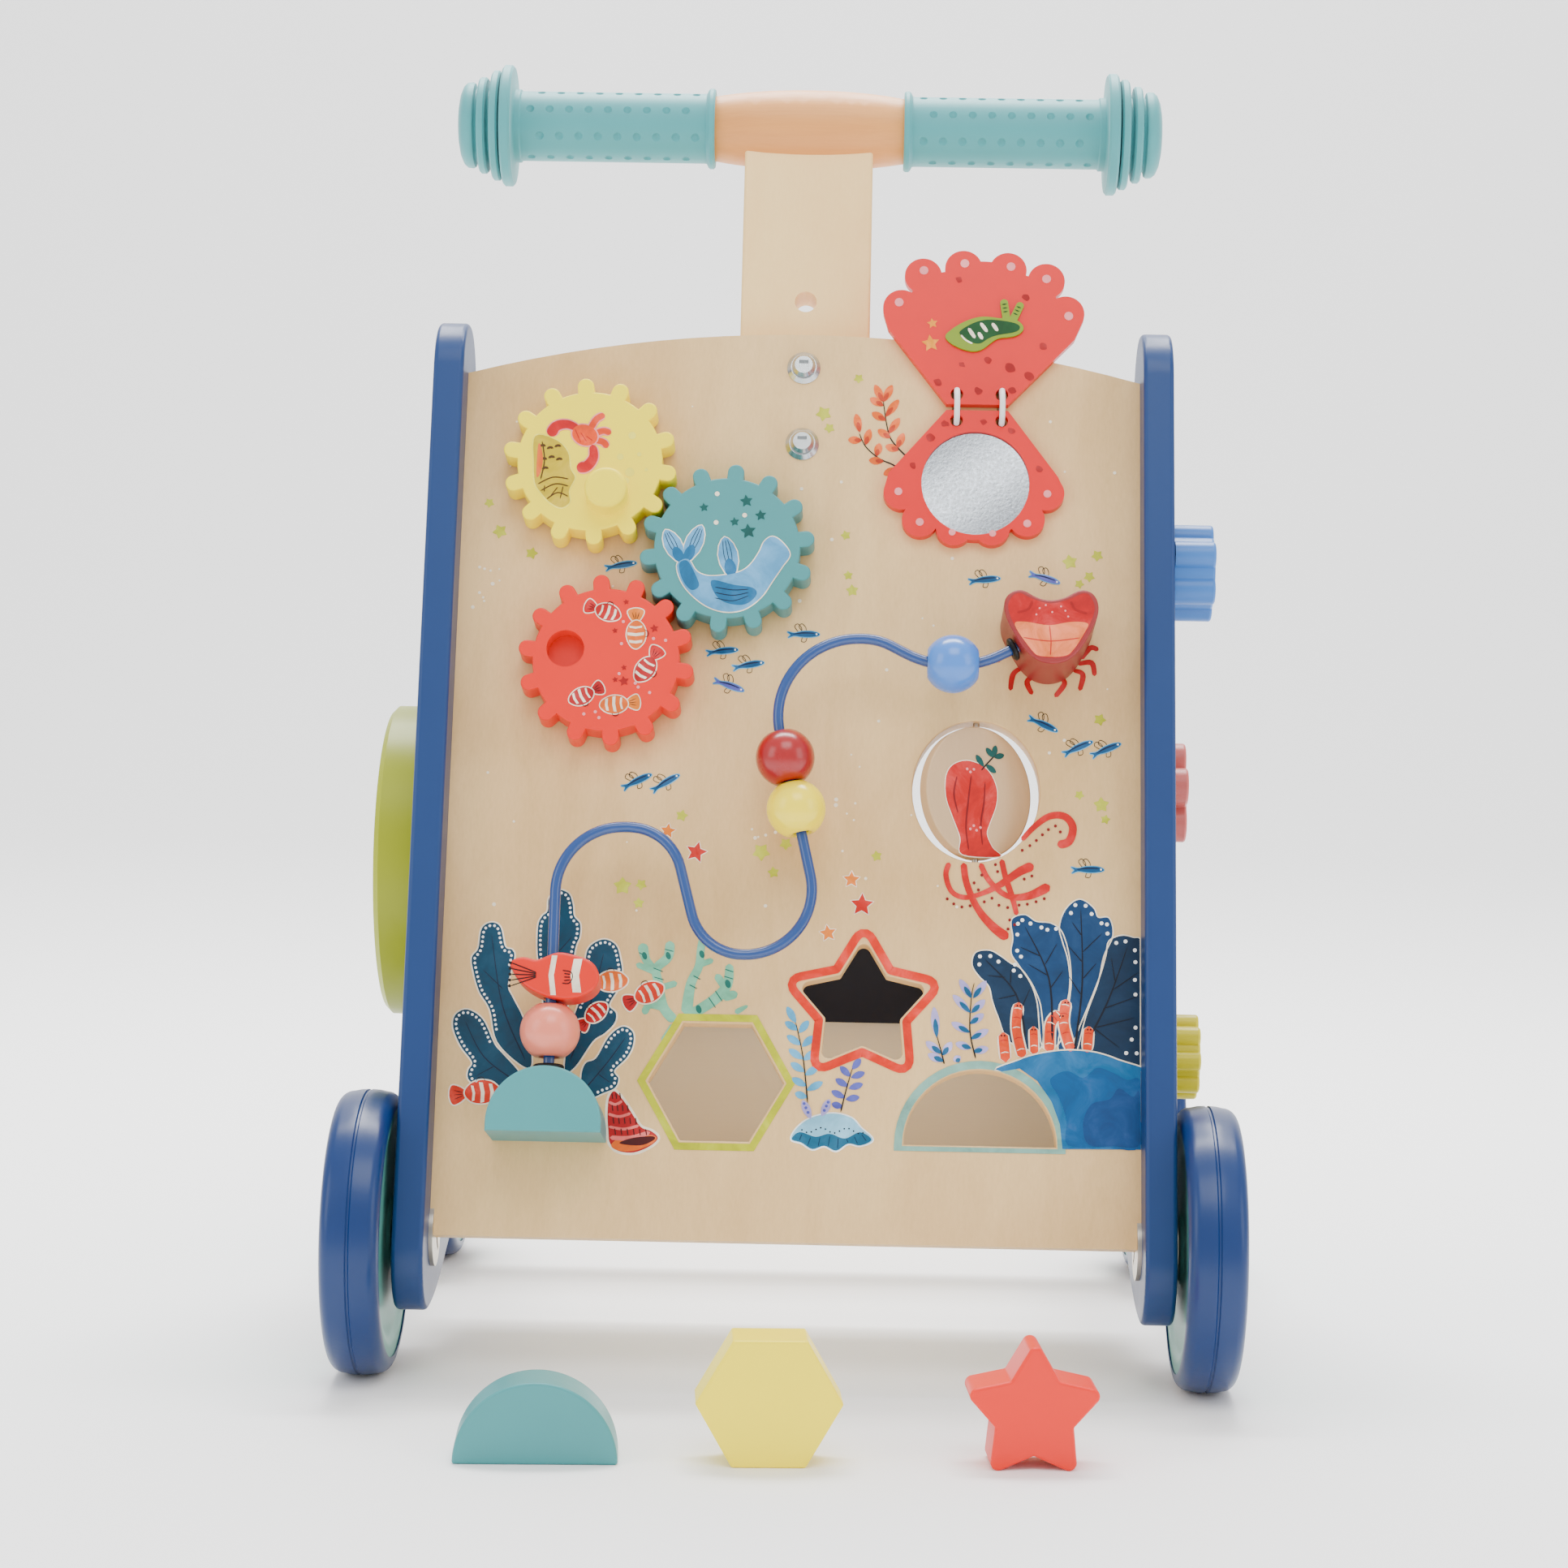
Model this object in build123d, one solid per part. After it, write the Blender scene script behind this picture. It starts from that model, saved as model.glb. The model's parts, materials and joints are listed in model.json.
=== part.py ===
"""Baby walker with a sloping activity board: one STEP per piece, millimetres.

+Z is up, the walker faces -Y, X runs to the right as seen from the front, and the floor is Z = 0.
The activity board leans back. Its own axes are u (across), v (up the slope from its bottom front
edge) and n (out of its face), and everything on the board is drawn in those axes.
"""
import os
from math import cos, degrees, pi, radians, sin, sqrt

from build123d import *

os.makedirs("parts", exist_ok=True)

# ---- driving sizes -------------------------------------------------------------------------
INNER = 128.0            # half the width between the side panels
PANEL_T = 11.5           # side panel thickness
LEAN = 16.4              # lean of the board from upright, degrees
BOARD_Z = 52.3           # height of the board's bottom front edge
BOARD_T = 9.0
BOARD_SIDE = 328.0       # slope length at the sides
BOARD_CROWN = 17.5       # rise of the arched top over the sides
RECESS = 17.0            # the side panels stand this far in front of the board's face
RUN = 0.06               # radial running fit of everything that turns
GAP = 0.4                # end play of everything that turns

SL, CL = sin(radians(LEAN)), cos(radians(LEAN))
BOARD = Location(Plane(origin=(0, 0, BOARD_Z), x_dir=(1, 0, 0), z_dir=(0, -CL, SL)))


def board_point(u, v, n=0.0):
    """A point given on the board, in the walker's own axes."""
    return (u, v * SL - n * CL, BOARD_Z + v * CL + n * SL)


def plate(face, n0, n1):
    """A face drawn in (u, v), made solid from n0 to n1, in board axes."""
    return Pos(0, 0, n0) * extrude(face, n1 - n0)


def disc(u, v, r, n0, n1):
    return plate(Pos(u, v) * Circle(r), n0, n1)


def rod_x(y, z, r, x0, x1):
    """A round bar along X."""
    return Pos((x0 + x1) / 2, y, z) * Rot(0, 90, 0) * Cylinder(r, abs(x1 - x0))


def box(x0, x1, y0, y1, z0, z1):
    return Pos((x0 + x1) / 2, (y0 + y1) / 2, (z0 + z1) / 2) * Box(x1 - x0, y1 - y0, z1 - z0)


def turned_x(profile, y, z, mirror=1):
    """A turned piece: profile is (x, r) pairs about an axis along X."""
    pts = [(mirror * x, r) for x, r in profile]
    face = make_face(Polyline([(pts[0][0], 0)] + pts + [(pts[-1][0], 0)], close=True))
    return Pos(0, y, z) * revolve(face, Axis.X)


def soften(solid, radius, pick=lambda e: True):
    """Round the picked edges; a smaller radius is used where a corner can't take the full one."""
    edges = [e for e in solid.edges() if pick(e)]
    for r in (radius, radius * 0.6, radius * 0.3):
        try:
            out = fillet(edges, r)
            if out.is_valid:
                return out
        except Exception:
            continue
    return solid


nodes = {}                                        # every piece, written out at the end


def save(node, *shapes):
    solids = []
    for s in shapes:
        solids += list(s.solids())
    nodes[node] = solids


# ---- wheels: places and sizes --------------------------------------------------------------
WHEEL_R = 51.4
FRONT_Y, REAR_Y = 9.3, 226.0
SPACER_R, SPACER_T = 9.0, 1.9
HUB_IN = INNER + PANEL_T + SPACER_T + GAP        # inner face of the hub
HUB_OUT = HUB_IN + 19.6
TYRE_IN, TYRE_OUT = HUB_IN - 0.6, HUB_OUT + 0.8
AXLE_R = 4.0
INSERT_R, FLANGE_R, FLANGE_T = 6.0, 12.0, 1.5
HUB_R = 45.0

# ---- side panels ---------------------------------------------------------------------------
TOP_R = 22.5
TOP_N = RECESS - TOP_R                            # the top round is tangent to the front edge
TOP_V = 326.0
_, TOP_Y, TOP_Z = board_point(0, TOP_V, TOP_N)
DRUM_Y, DRUM_Z, DRUM_R = 110.0, 178.5, 60.0


def front_edge(v):
    _, y, z = board_point(0, v, RECESS)
    return (y, z)


def panel_face():
    """Outline of a side panel in (Y, Z)."""
    top_front = front_edge(TOP_V)
    back = (TOP_Y + TOP_R * cos(radians(6)), TOP_Z + TOP_R * sin(radians(6)))
    toe = front_edge(-4)
    foot = (0.0, 25.0)
    front = Line(top_front, toe)
    nose = Spline([toe, (-14.5, 34.0), foot], tangents=[(-SL, -CL), (1, -0.15)])
    arch = Spline([foot, (22, 26.5), (66, 38.8), (118, 47), (170, 38.8), (208, 26.5), (226, 25)],
                  tangents=[(1, -0.05), (1, 0)])
    heel = Spline([(226, 25), (250, 40), (254, 62)], tangents=[(1, 0), (0, 1)])
    spine = Spline([(254, 62), (243, 92), (212, 134), (184, 178), (160, 235), (140, 300), back],
                   tangents=[(0, 1), (-0.10, 1)])
    crown = ThreePointArc(back, (TOP_Y + TOP_R * SL, TOP_Z + TOP_R * CL), top_front)
    return make_face(Wire([front, nose, arch, heel, spine, crown]))


YZ = Location(Plane(origin=(0, 0, 0), x_dir=(0, 1, 0), z_dir=(1, 0, 0)))
outline = panel_face()
panel_right = YZ * (Pos(0, 0, INNER) * extrude(outline, PANEL_T))
panel_right = soften(panel_right, 1.8, lambda e: abs(e.center().X - INNER) < 0.01
                     or abs(e.center().X - INNER - PANEL_T) < 0.01)
panel_left = mirror(panel_right, Plane.YZ)

# ---- board ---------------------------------------------------------------------------------
HEX_UV, HEX_R = (-26.2, 57.4), 24.8
STAR_UV, STAR_TIP, STAR_IN, STAR_ROUND = (26.7, 86.2), 25.6, 14.3, 2.6
HALF_UV, HALF_R = (69.75, 36.1), 27.6
OVAL_UV, OVAL_A, OVAL_B = (67.2, 167.7), 23.6, 26.8
BOLT_V = (301.5, 332.0)
BOLT_PITCH = BOLT_V[1] - BOLT_V[0]
SPARE_V = BOLT_V[1] + BOLT_PITCH


def hexagon(r):
    return RegularPolygon(r, 6)


def star(tip, inner, rounding):
    pts = []
    for k in range(5):
        a, b = radians(90 + 72 * k), radians(126 + 72 * k)
        pts += [(tip * cos(a), tip * sin(a)), (inner * cos(b), inner * sin(b))]
    face = make_face(Polyline(pts, close=True))
    tips = [v for v in face.vertices() if v.center().length > (tip + inner) / 2]
    face = fillet(tips, rounding)
    dents = [v for v in face.vertices() if v.center().length < inner + 0.5]
    return fillet(dents, 1.0)


def half_disc(r):
    return Circle(r) & Pos(0, r) * Rectangle(2 * r, 2 * r)


crown_r = (INNER ** 2 + BOARD_CROWN ** 2) / (2 * BOARD_CROWN)
sheet = make_face(Wire([Line((-INNER, BOARD_SIDE), (-INNER, 0)), Line((-INNER, 0), (INNER, 0)),
                        Line((INNER, 0), (INNER, BOARD_SIDE)),
                        ThreePointArc((INNER, BOARD_SIDE), (0, BOARD_SIDE + BOARD_CROWN),
                                      (-INNER, BOARD_SIDE))]))
board_face = (sheet - Pos(*HEX_UV) * hexagon(HEX_R) - Pos(*STAR_UV) * star(STAR_TIP, STAR_IN, STAR_ROUND)
              - Pos(*HALF_UV) * half_disc(HALF_R) - Pos(*OVAL_UV) * Ellipse(OVAL_A, OVAL_B))
board = plate(board_face, -BOARD_T, 0)
board = soften(board, 0.6, lambda e: abs(e.center().Z) < 0.01 and (
    sqrt((e.center().X - OVAL_UV[0]) ** 2 + (e.center().Y - OVAL_UV[1]) ** 2) < 32
    or (e.center().Y < 115 and abs(e.center().X) < 110 and e.center().Y > 30)))

# ---- handle post and bolts -----------------------------------------------------------------
POST_W, POST_T, POST_R = 50.0, 15.0, 4.2
POST_BOTTOM, POST_TOP = 224.0, 428.4
post_back = -BOARD_T - POST_T
bolt_holes = [BOLT_V[0] + k * BOLT_PITCH for k in (-1, 0, 1, 2)]
post = plate(Pos(0, (POST_BOTTOM + POST_TOP) / 2) * Rectangle(POST_W, POST_TOP - POST_BOTTOM),
             post_back, -BOARD_T)
post = soften(post, 1.2, lambda e: e.length > 150)
for v in bolt_holes:
    post -= disc(0, v, POST_R, post_back - 1, -BOARD_T + 1)
for v in BOLT_V:
    board -= disc(0, v, 3.2, -BOARD_T - 1, 1)

washer_profile = make_face(Polyline([(3.3, 0), (6.35, 0), (6.35, 0.5), (4.9, 2.0), (3.3, 2.0)], close=True))
washer = revolve(Location(Plane.XZ) * washer_profile, Axis.Z)
head_profile = make_face(Polyline([(0, 2.0), (4.5, 2.0), (4.5, 3.0), (3.4, 4.4), (0, 4.4)], close=True))
bolt = revolve(Location(Plane.XZ) * head_profile, Axis.Z)
bolt += Pos(0, 0, (2.0 + post_back - 6) / 2) * Cylinder(3.0, 2.0 - post_back + 6)
bolt -= Pos(0, 0, 3.7) * Box(3.6, 3.6, 2.2)
nut = Pos(0, 0, post_back - 5) * extrude(RegularPolygon(5.8, 6), 5) - Pos(0, 0, post_back - 4) * Cylinder(3.0, 12)
save("handle_bolts", *[BOARD * Pos(0, v, 0) * bolt for v in BOLT_V])
save("handle_bolt_washers", *[BOARD * Pos(0, v, 0) * washer for v in BOLT_V])
save("handle_nuts", *[BOARD * Pos(0, v, 0) * nut for v in BOLT_V])

# ---- handle bar and grips ------------------------------------------------------------------
BAR_V = 437.0
_, BAR_Y, BAR_Z = board_point(0, BAR_V, -BOARD_T - POST_T / 2)
BAR_MID_R, BAR_END_R, CORE_R = 15.5, 12.6, 9.5
GRIP_IN, GRIP_OUT = 37.0, 138.0
CORE_END = GRIP_OUT - 6.0
belly = Spline([(-GRIP_IN, BAR_END_R), (-18, 14.9), (0, BAR_MID_R), (18, 14.9), (GRIP_IN, BAR_END_R)])
bar_face = make_face(Wire([Line((-CORE_END, 0), (-CORE_END, CORE_R)), Line((-CORE_END, CORE_R), (-GRIP_IN, CORE_R)),
                           Line((-GRIP_IN, CORE_R), (-GRIP_IN, BAR_END_R)), belly,
                           Line((GRIP_IN, BAR_END_R), (GRIP_IN, CORE_R)), Line((GRIP_IN, CORE_R), (CORE_END, CORE_R)),
                           Line((CORE_END, CORE_R), (CORE_END, 0)), Line((CORE_END, 0), (-CORE_END, 0))]))
bar = Pos(0, BAR_Y, BAR_Z) * revolve(bar_face, Axis.X)
post_solid = BOARD * post
bar -= post_solid
save("handle_bar", bar)
save("handle_post", post_solid)

# radii along the grip, measured outward from the inner flange
grip_profile = [(0, 15.3), (0.5, 15.6), (2.2, 15.6), (2.6, 15.3), (3.2, 13.5), (76, 13.5), (76.4, 14.2), (78.2, 14.2),
                (79.2, 22.9), (79.9, 23.5), (82.8, 23.5), (83.5, 22.9), (83.5, 14.2), (84.4, 14.2),
                (84.4, 20.8), (85.0, 21.3), (87.1, 21.3), (87.7, 20.8), (87.7, 14.2), (89.6, 14.2),
                (89.6, 18.2), (90.2, 18.7), (92.2, 18.7), (92.8, 18.2), (92.8, 14.2), (94.4, 14.2),
                (94.4, 16.0), (95.2, 16.7), (98.4, 16.0), (100.2, 12.5), (101, 7.0)]
for side, node in ((-1, "left_grip"), (1, "right_grip")):
    grip = turned_x([(GRIP_IN + x, r) for x, r in grip_profile], BAR_Y, BAR_Z, side)
    save(node, grip - rod_x(BAR_Y, BAR_Z, CORE_R, side * (GRIP_IN - 1), side * CORE_END))

# ---- wheels --------------------------------------------------------------------------------
tyre_profile = [(TYRE_IN, HUB_R), (TYRE_IN, WHEEL_R - 5), (TYRE_IN + 1.2, WHEEL_R - 2), (TYRE_IN + 4.4, WHEEL_R - 0.3),
                (TYRE_IN + 7, WHEEL_R)]


def tyre_solid(side, y):
    mid = (TYRE_IN + TYRE_OUT) / 2
    curve = [(mid - 1.0, WHEEL_R), (mid - 0.5, WHEEL_R - 0.35), (mid + 0.5, WHEEL_R - 0.35), (mid + 1.0, WHEEL_R)]
    half_b = [(2 * mid - x, r) for x, r in reversed(tyre_profile)]
    pts = [(side * x, r) for x, r in tyre_profile + curve + half_b]
    return Pos(0, y, WHEEL_R) * revolve(make_face(Polyline(pts, close=True)), Axis.X)


def hub_solid(side, y):
    dish = 1.2
    profile = [(HUB_IN, 11), (HUB_IN + dish, 14), (HUB_IN + dish, 38), (HUB_IN, 41), (HUB_IN, HUB_R),
               (HUB_OUT, HUB_R), (HUB_OUT, 41), (HUB_OUT - dish, 38), (HUB_OUT - dish, 14), (HUB_OUT, 11)]
    return turned_x(profile, y, WHEEL_R, side) - rod_x(y, WHEEL_R, AXLE_R + RUN, side * 130, side * 170)


def bolt_solid(side, y):
    x = HUB_OUT + GAP
    profile = [(INNER + 0.6, AXLE_R), (x, AXLE_R), (x, 8.2), (x + 1.2, 8.2), (x + 3.4, 6.6), (x + 4.9, 3.8), (x + 5.4, 1.0)]
    return turned_x(profile, y, WHEEL_R, side)


def insert_solid(side, y):
    x0, x1 = INNER - FLANGE_T, INNER + PANEL_T
    body = rod_x(y, WHEEL_R, INSERT_R, side * INNER, side * x1) + rod_x(y, WHEEL_R, FLANGE_R, side * x0, side * INNER)
    slot = Pos(side * x0, y, WHEEL_R) * Rot(35, 0, 0) * Box(1.4, 2.2, 17)
    return body - rod_x(y, WHEEL_R, AXLE_R, side * (INNER + 0.6), side * (x1 + 1)) - slot


def spacer_solid(side, y):
    x0 = INNER + PANEL_T
    return (rod_x(y, WHEEL_R, SPACER_R, side * x0, side * (x0 + SPACER_T))
            - rod_x(y, WHEEL_R, AXLE_R, side * (x0 - 1), side * (x0 + SPACER_T + 1)))


corners = [("left", "front", -1, FRONT_Y), ("right", "front", 1, FRONT_Y), ("left", "rear", -1, REAR_Y), ("right", "rear", 1, REAR_Y)]
for lr, fr, side, y in corners:
    save(f"{fr}_{lr}_tyre", tyre_solid(side, y))
    save(f"{fr}_{lr}_hub", hub_solid(side, y))
inserts = [insert_solid(side, y) for _, _, side, y in corners]
save("axle_bolts", *[bolt_solid(side, y) for _, _, side, y in corners])
save("axle_inserts", *inserts)
save("axle_spacers", *[spacer_solid(side, y) for _, _, side, y in corners])

# ---- storage bin behind the board, rear rail ------------------------------------------------
BIN_Z0, BIN_Z1, SHELF_T = 54.0, 165.0, 8.0
BIN_Y0, BIN_Y1 = 104.0, 112.0
NAVY_Y, NAVY_Z = 98.0, 119.5


def board_back_y(z):
    """Y of the board's back face at a height."""
    v = (z - BOARD_Z + BOARD_T * SL) / CL
    return v * SL + BOARD_T * CL


shelf = box(-INNER, INNER, 0, BIN_Y0, BIN_Z0, BIN_Z0 + SHELF_T)
shelf -= BOARD * plate(Pos(0, 50) * Rectangle(300, 200), -BOARD_T, 60)
back = box(-INNER, INNER, BIN_Y0, BIN_Y1, BIN_Z0, BIN_Z1)
navy = box(-INNER, INNER, NAVY_Y, BIN_Y0, NAVY_Z, BIN_Z1)
rail = box(-INNER, INNER, 204, 216, 62, 104)

# ---- gears ---------------------------------------------------------------------------------
TEETH, GEAR_TIP, GEAR_ROOT, TOOTH_W = 14, 32.8, 27.3, 6.2
GEAR_D = 62.0                                     # distance between meshed gears
GEAR_N0, GEAR_N1 = 1.6, 13.0
TEAL_UV, TEAL_PHASE = (-26.95, 256.1), 85.0
PITCH = 360 / TEETH
YELLOW_DIR, CORAL_DIR = 147.77, 225.1             # from the teal gear's centre, degrees


def around(uv, angle, d):
    return (uv[0] + d * cos(radians(angle)), uv[1] + d * sin(radians(angle)))


def mate_phase(direction):
    """Tooth phase of a gear meshed with the teal one in a direction."""
    gap = (TEAL_PHASE + PITCH / 2 - direction) % PITCH
    gap = gap - PITCH if gap > PITCH / 2 else gap
    return (direction + 180 - gap) % PITCH


YELLOW_UV, YELLOW_PHASE = around(TEAL_UV, YELLOW_DIR, GEAR_D), mate_phase(YELLOW_DIR)
CORAL_UV, CORAL_PHASE = around(TEAL_UV, CORAL_DIR, GEAR_D), mate_phase(CORAL_DIR)
SHAFT_R, HEAD_R, CAP_R = 4.0, 6.0, 7.5


def gear_solid(uv, phase):
    face = Circle(GEAR_ROOT)
    reach = GEAR_TIP - TOOTH_W / 2
    for k in range(TEETH):
        tooth = Pos(reach / 2 + 10, 0) * Rectangle(reach - 20, TOOTH_W) + Pos(reach, 0) * Circle(TOOTH_W / 2)
        face += Rot(0, 0, phase + k * PITCH) * tooth
    body = plate(face, GEAR_N0, GEAR_N1)
    body = soften(body, 0.7, lambda e: abs(e.center().Z - GEAR_N1) < 0.01)
    body -= Pos(0, 0, 5) * Cylinder(SHAFT_R + RUN, 30)
    body -= disc(0, 0, HEAD_R + GAP, 8.6, GEAR_N1 + 1)
    body -= disc(0, 0, CAP_R, 11.4, GEAR_N1 + 1)
    return Pos(uv[0], uv[1], 0) * body


PEG_UV = (YELLOW_UV[0] + 7.1, YELLOW_UV[1] - 13.6)
FINGER_UV, FINGER_R = (CORAL_UV[0] - 15.2, CORAL_UV[1] + 3.9), 7.0
peg = disc(*PEG_UV, 8.0, GEAR_N1, GEAR_N1 + 11)
peg = soften(peg, 1.8, lambda e: abs(e.center().Z - GEAR_N1 - 11) < 0.01)
peg += disc(*PEG_UV, 3.6, 6.0, GEAR_N1)
yellow_gear = gear_solid(YELLOW_UV, YELLOW_PHASE) - peg
coral_gear = gear_solid(CORAL_UV, CORAL_PHASE) - disc(*FINGER_UV, FINGER_R, 5.0, GEAR_N1 + 1)
save("yellow_gear", BOARD * yellow_gear)
save("yellow_gear_peg", BOARD * peg)
save("teal_gear", BOARD * gear_solid(TEAL_UV, TEAL_PHASE))
save("coral_gear", BOARD * coral_gear)
axles, spacers = [], []
for node, uv in (("yellow_gear_cap", YELLOW_UV), ("teal_gear_cap", TEAL_UV), ("coral_gear_cap", CORAL_UV)):
    save(node, BOARD * disc(*uv, CAP_R, 11.4, GEAR_N1))
    axle = disc(*uv, SHAFT_R, 0, 9.0) + disc(*uv, HEAD_R, 9.0, 11.0) + disc(*uv, 2.5, -7.0, 0)
    axles.append(axle)
    spacers.append(disc(*uv, 7.0, 0, GEAR_N0 - GAP) - disc(*uv, SHAFT_R, -1, 3))
    board -= disc(*uv, 2.5, -7.0, 1)
save("gear_axles", *[BOARD * a for a in axles])
save("gear_spacers", *[BOARD * s for s in spacers])

# ---- shell mirror with its lid -------------------------------------------------------------
SHELL_T = 4.0
HINGE_V, HINGE_N = 316.0, SHELL_T + 0.3
RING_R, RING_TUBE, RING_U = 6.3, 1.1, (58.3, 75.4)
HOLE_OFF, HOLE_R, LIP = 5.2, 2.4, 1.2
MIRROR_UV, MIRROR_R = (65.7, 286.0), 20.35
SHELL_U = 65.7
LID_U = 68.0


def scalloped(lobes, r, edge):
    """A shell's outline: round lobes along one side of a straight-edged fan."""
    out = make_face(Polyline(edge, close=True))
    for u, v in lobes:
        out += Pos(u, v) * Circle(r)
    return out


plate_v = HINGE_V - LIP
PLATE_LOBES = [(37.9, 281.8), (45.0, 271.2), (57.8, 268.1), (72.0, 268.3), (85.1, 272.0), (92.4, 282.4)]
lower = scalloped(PLATE_LOBES, 6.8, [(54.4, plate_v), (77.8, plate_v), (96.8, 288.9), (98.9, 284.2)] + PLATE_LOBES[::-1]
                  + [(31.5, 284.0), (32.9, 289.5)])
lower += Pos(*MIRROR_UV) * Circle(MIRROR_R + 2.2)
lower = lower & Pos(SHELL_U, plate_v - 50) * Rectangle(100, 100)
shell_plate = plate(lower, 0, SHELL_T)
shell_plate -= disc(*MIRROR_UV, MIRROR_R, 1.5, SHELL_T + 1)
mirror_glass = disc(*MIRROR_UV, MIRROR_R, 1.5, 2.8)

lid_v = HINGE_V + LIP
LID_LOBES = [(36.9, 355.8), (45.0, 368.7), (60.4, 372.1), (77.4, 371.5), (92.0, 367.3), (99.5, 354.2)]
upper = scalloped(LID_LOBES, 7.1, [(54.4, lid_v), (77.8, lid_v), (102.8, 343.7), (106.3, 351.9)] + LID_LOBES[::-1]
                  + [(30.0, 353.6), (32.0, 346.9)])
upper += Pos(LID_U, 349.0) * Circle(26.0)
upper = upper & Pos(LID_U, lid_v + 50) * Rectangle(100, 100)
lid = plate(upper, 0.4, SHELL_T)

rings = []
for u in RING_U:
    ring = Pos(u, HINGE_V, HINGE_N) * Rot(0, 90, 0) * Torus(RING_R, RING_TUBE)
    rings.append(ring)
    shell_plate -= disc(u, HINGE_V - HOLE_OFF, HOLE_R, -1, SHELL_T + 1)
    lid -= disc(u, HINGE_V + HOLE_OFF, HOLE_R, -1, SHELL_T + 1)
    board -= Pos(u, HINGE_V, -1.5) * Box(3.4, 15.0, 3.4)
shell_plate = soften(shell_plate, 0.8, lambda e: abs(e.center().Z - SHELL_T) < 0.01 and e.length > 5
                     and sqrt((e.center().X - MIRROR_UV[0]) ** 2 + (e.center().Y - MIRROR_UV[1]) ** 2) > 15
                     and abs(e.center().Y - plate_v) > 1)

SLUG_T = 1.0
slug_face = make_face(Spline([(54.2, 345.2), (61.4, 350.3), (68.0, 352.2), (75.5, 351.6), (81.4, 350.6), (83.4, 347.8),
                              (80.8, 344.9), (73.6, 343.4), (68.0, 339.2), (60.8, 338.8)], periodic=True))
for u, v, turn in ((76.4, 354.6, 98.0), (80.6, 353.8, 66.0)):
    slug_face += Pos(u, v) * Rot(0, 0, turn) * SlotOverall(9.6, 3.0)
slug = plate(slug_face, SHELL_T, SHELL_T + SLUG_T)
save("shell_plate", BOARD * shell_plate)
save("shell_mirror", BOARD * mirror_glass)
save("shell_lid", BOARD * lid)
save("lid_sea_slug", BOARD * slug)
save("lid_rings", *[BOARD * r for r in rings])

# ---- bead wire, its end blocks and the beads -------------------------------------------------
WIRE_R, WIRE_N = 2.0, 20.0
BORE_R = 3.2
STRAIGHT_U = -85.5
VALLEY_C, VALLEY_R, VALLEY_A = (57.5, 248.3), 38.0, 27.0
CREST_V, DIP_V, HUMP_V = 219.8, 101.0, 147.2     # levels of the wire's turns
RUN_TOP, RUN_TILT = (-5.6, 184.0), 13.0          # straight run for the red and yellow beads
RISE_FOOT, RISE_TILT = (-32.0, DIP_V), 15.0      # the run up from the dip leans left


def valley(a, r=VALLEY_R):
    return (VALLEY_C[0] + r * sin(radians(a)), VALLEY_C[1] - r * cos(radians(a)))


def on_run(t):
    """A point on the wire's straight run, t mm down from its top."""
    return (RUN_TOP[0] + t * sin(radians(RUN_TILT)), RUN_TOP[1] - t * cos(radians(RUN_TILT)))


def run_at(v):
    return (RUN_TOP[0] + (RUN_TOP[1] - v) * sin(radians(RUN_TILT)) / cos(radians(RUN_TILT)), v)


low = (VALLEY_C[0], VALLEY_C[1] - VALLEY_R / cos(radians(VALLEY_A)))
slope = (-cos(radians(VALLEY_A)), sin(radians(VALLEY_A)))
start = (low[0] - 29.0 * slope[0], low[1] + 29.0 * slope[1])
to_crest = (CREST_V - low[1]) / slope[1]
crest = (low[0] + to_crest * slope[0], CREST_V)
rise_top = (RISE_FOOT[0] - (HUMP_V - DIP_V) * sin(radians(RISE_TILT)) / cos(radians(RISE_TILT)), HUMP_V)
corners_uv = [start, low, crest, run_at(CREST_V), run_at(DIP_V), RISE_FOOT, rise_top, (STRAIGHT_U, HUMP_V), (STRAIGHT_U, 48.0)]
bends = [VALLEY_R, 22.0, 29.5, 24.0, 19.5, 19.5, 24.0]
path = FilletPolyline(*corners_uv, radius=bends)
section = Plane(origin=(start[0], start[1], 0), z_dir=(slope[0], -slope[1], 0)) * Circle(WIRE_R)
wire = Pos(0, 0, WIRE_N) * sweep(section, path)
print("bead_wire volume over section times length", wire.volume / (pi * WIRE_R ** 2 * path.length))
save("bead_wire", BOARD * wire)

BLOCK_N = 30.0
crab_face = make_face(Spline([(75.7, 231.6), (78.1, 235.8), (81.8, 236.9), (86.2, 234.9), (92.7, 233.2), (99.2, 235.0),
                              (104.2, 237.2), (107.9, 236.0), (110.2, 230.2), (107.8, 222.4), (102.6, 213.6), (98.4, 210.2),
                              (88.6, 210.0), (84.2, 213.2), (79.2, 220.8), (76.4, 226.4)], periodic=True))
crab = plate(crab_face, 0, BLOCK_N)
crab = soften(crab, 1.0, lambda e: abs(e.center().Z - BLOCK_N) < 0.01)
end_block = plate(Pos(-86.0, 37.5) * Circle(20.6) - Pos(-86.0, 7.5) * Rectangle(60, 60) + Pos(-86.0, 36.0) * Rectangle(41.2, 3.0),
                  0, BLOCK_N)
end_block = soften(end_block, 0.8, lambda e: abs(e.center().Z - BLOCK_N) < 0.01)
save("crab_block", BOARD * (crab - wire))
save("wire_end_block", BOARD * (end_block - wire))


def bead_solid(length=18.9, r=10.8, bore=BORE_R):
    """A flattened ball with its hole along Y."""
    ball = Sphere(r) & Box(2 * r, length, 2 * r)
    return ball - Rot(90, 0, 0) * Cylinder(bore, 3 * r)


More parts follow.
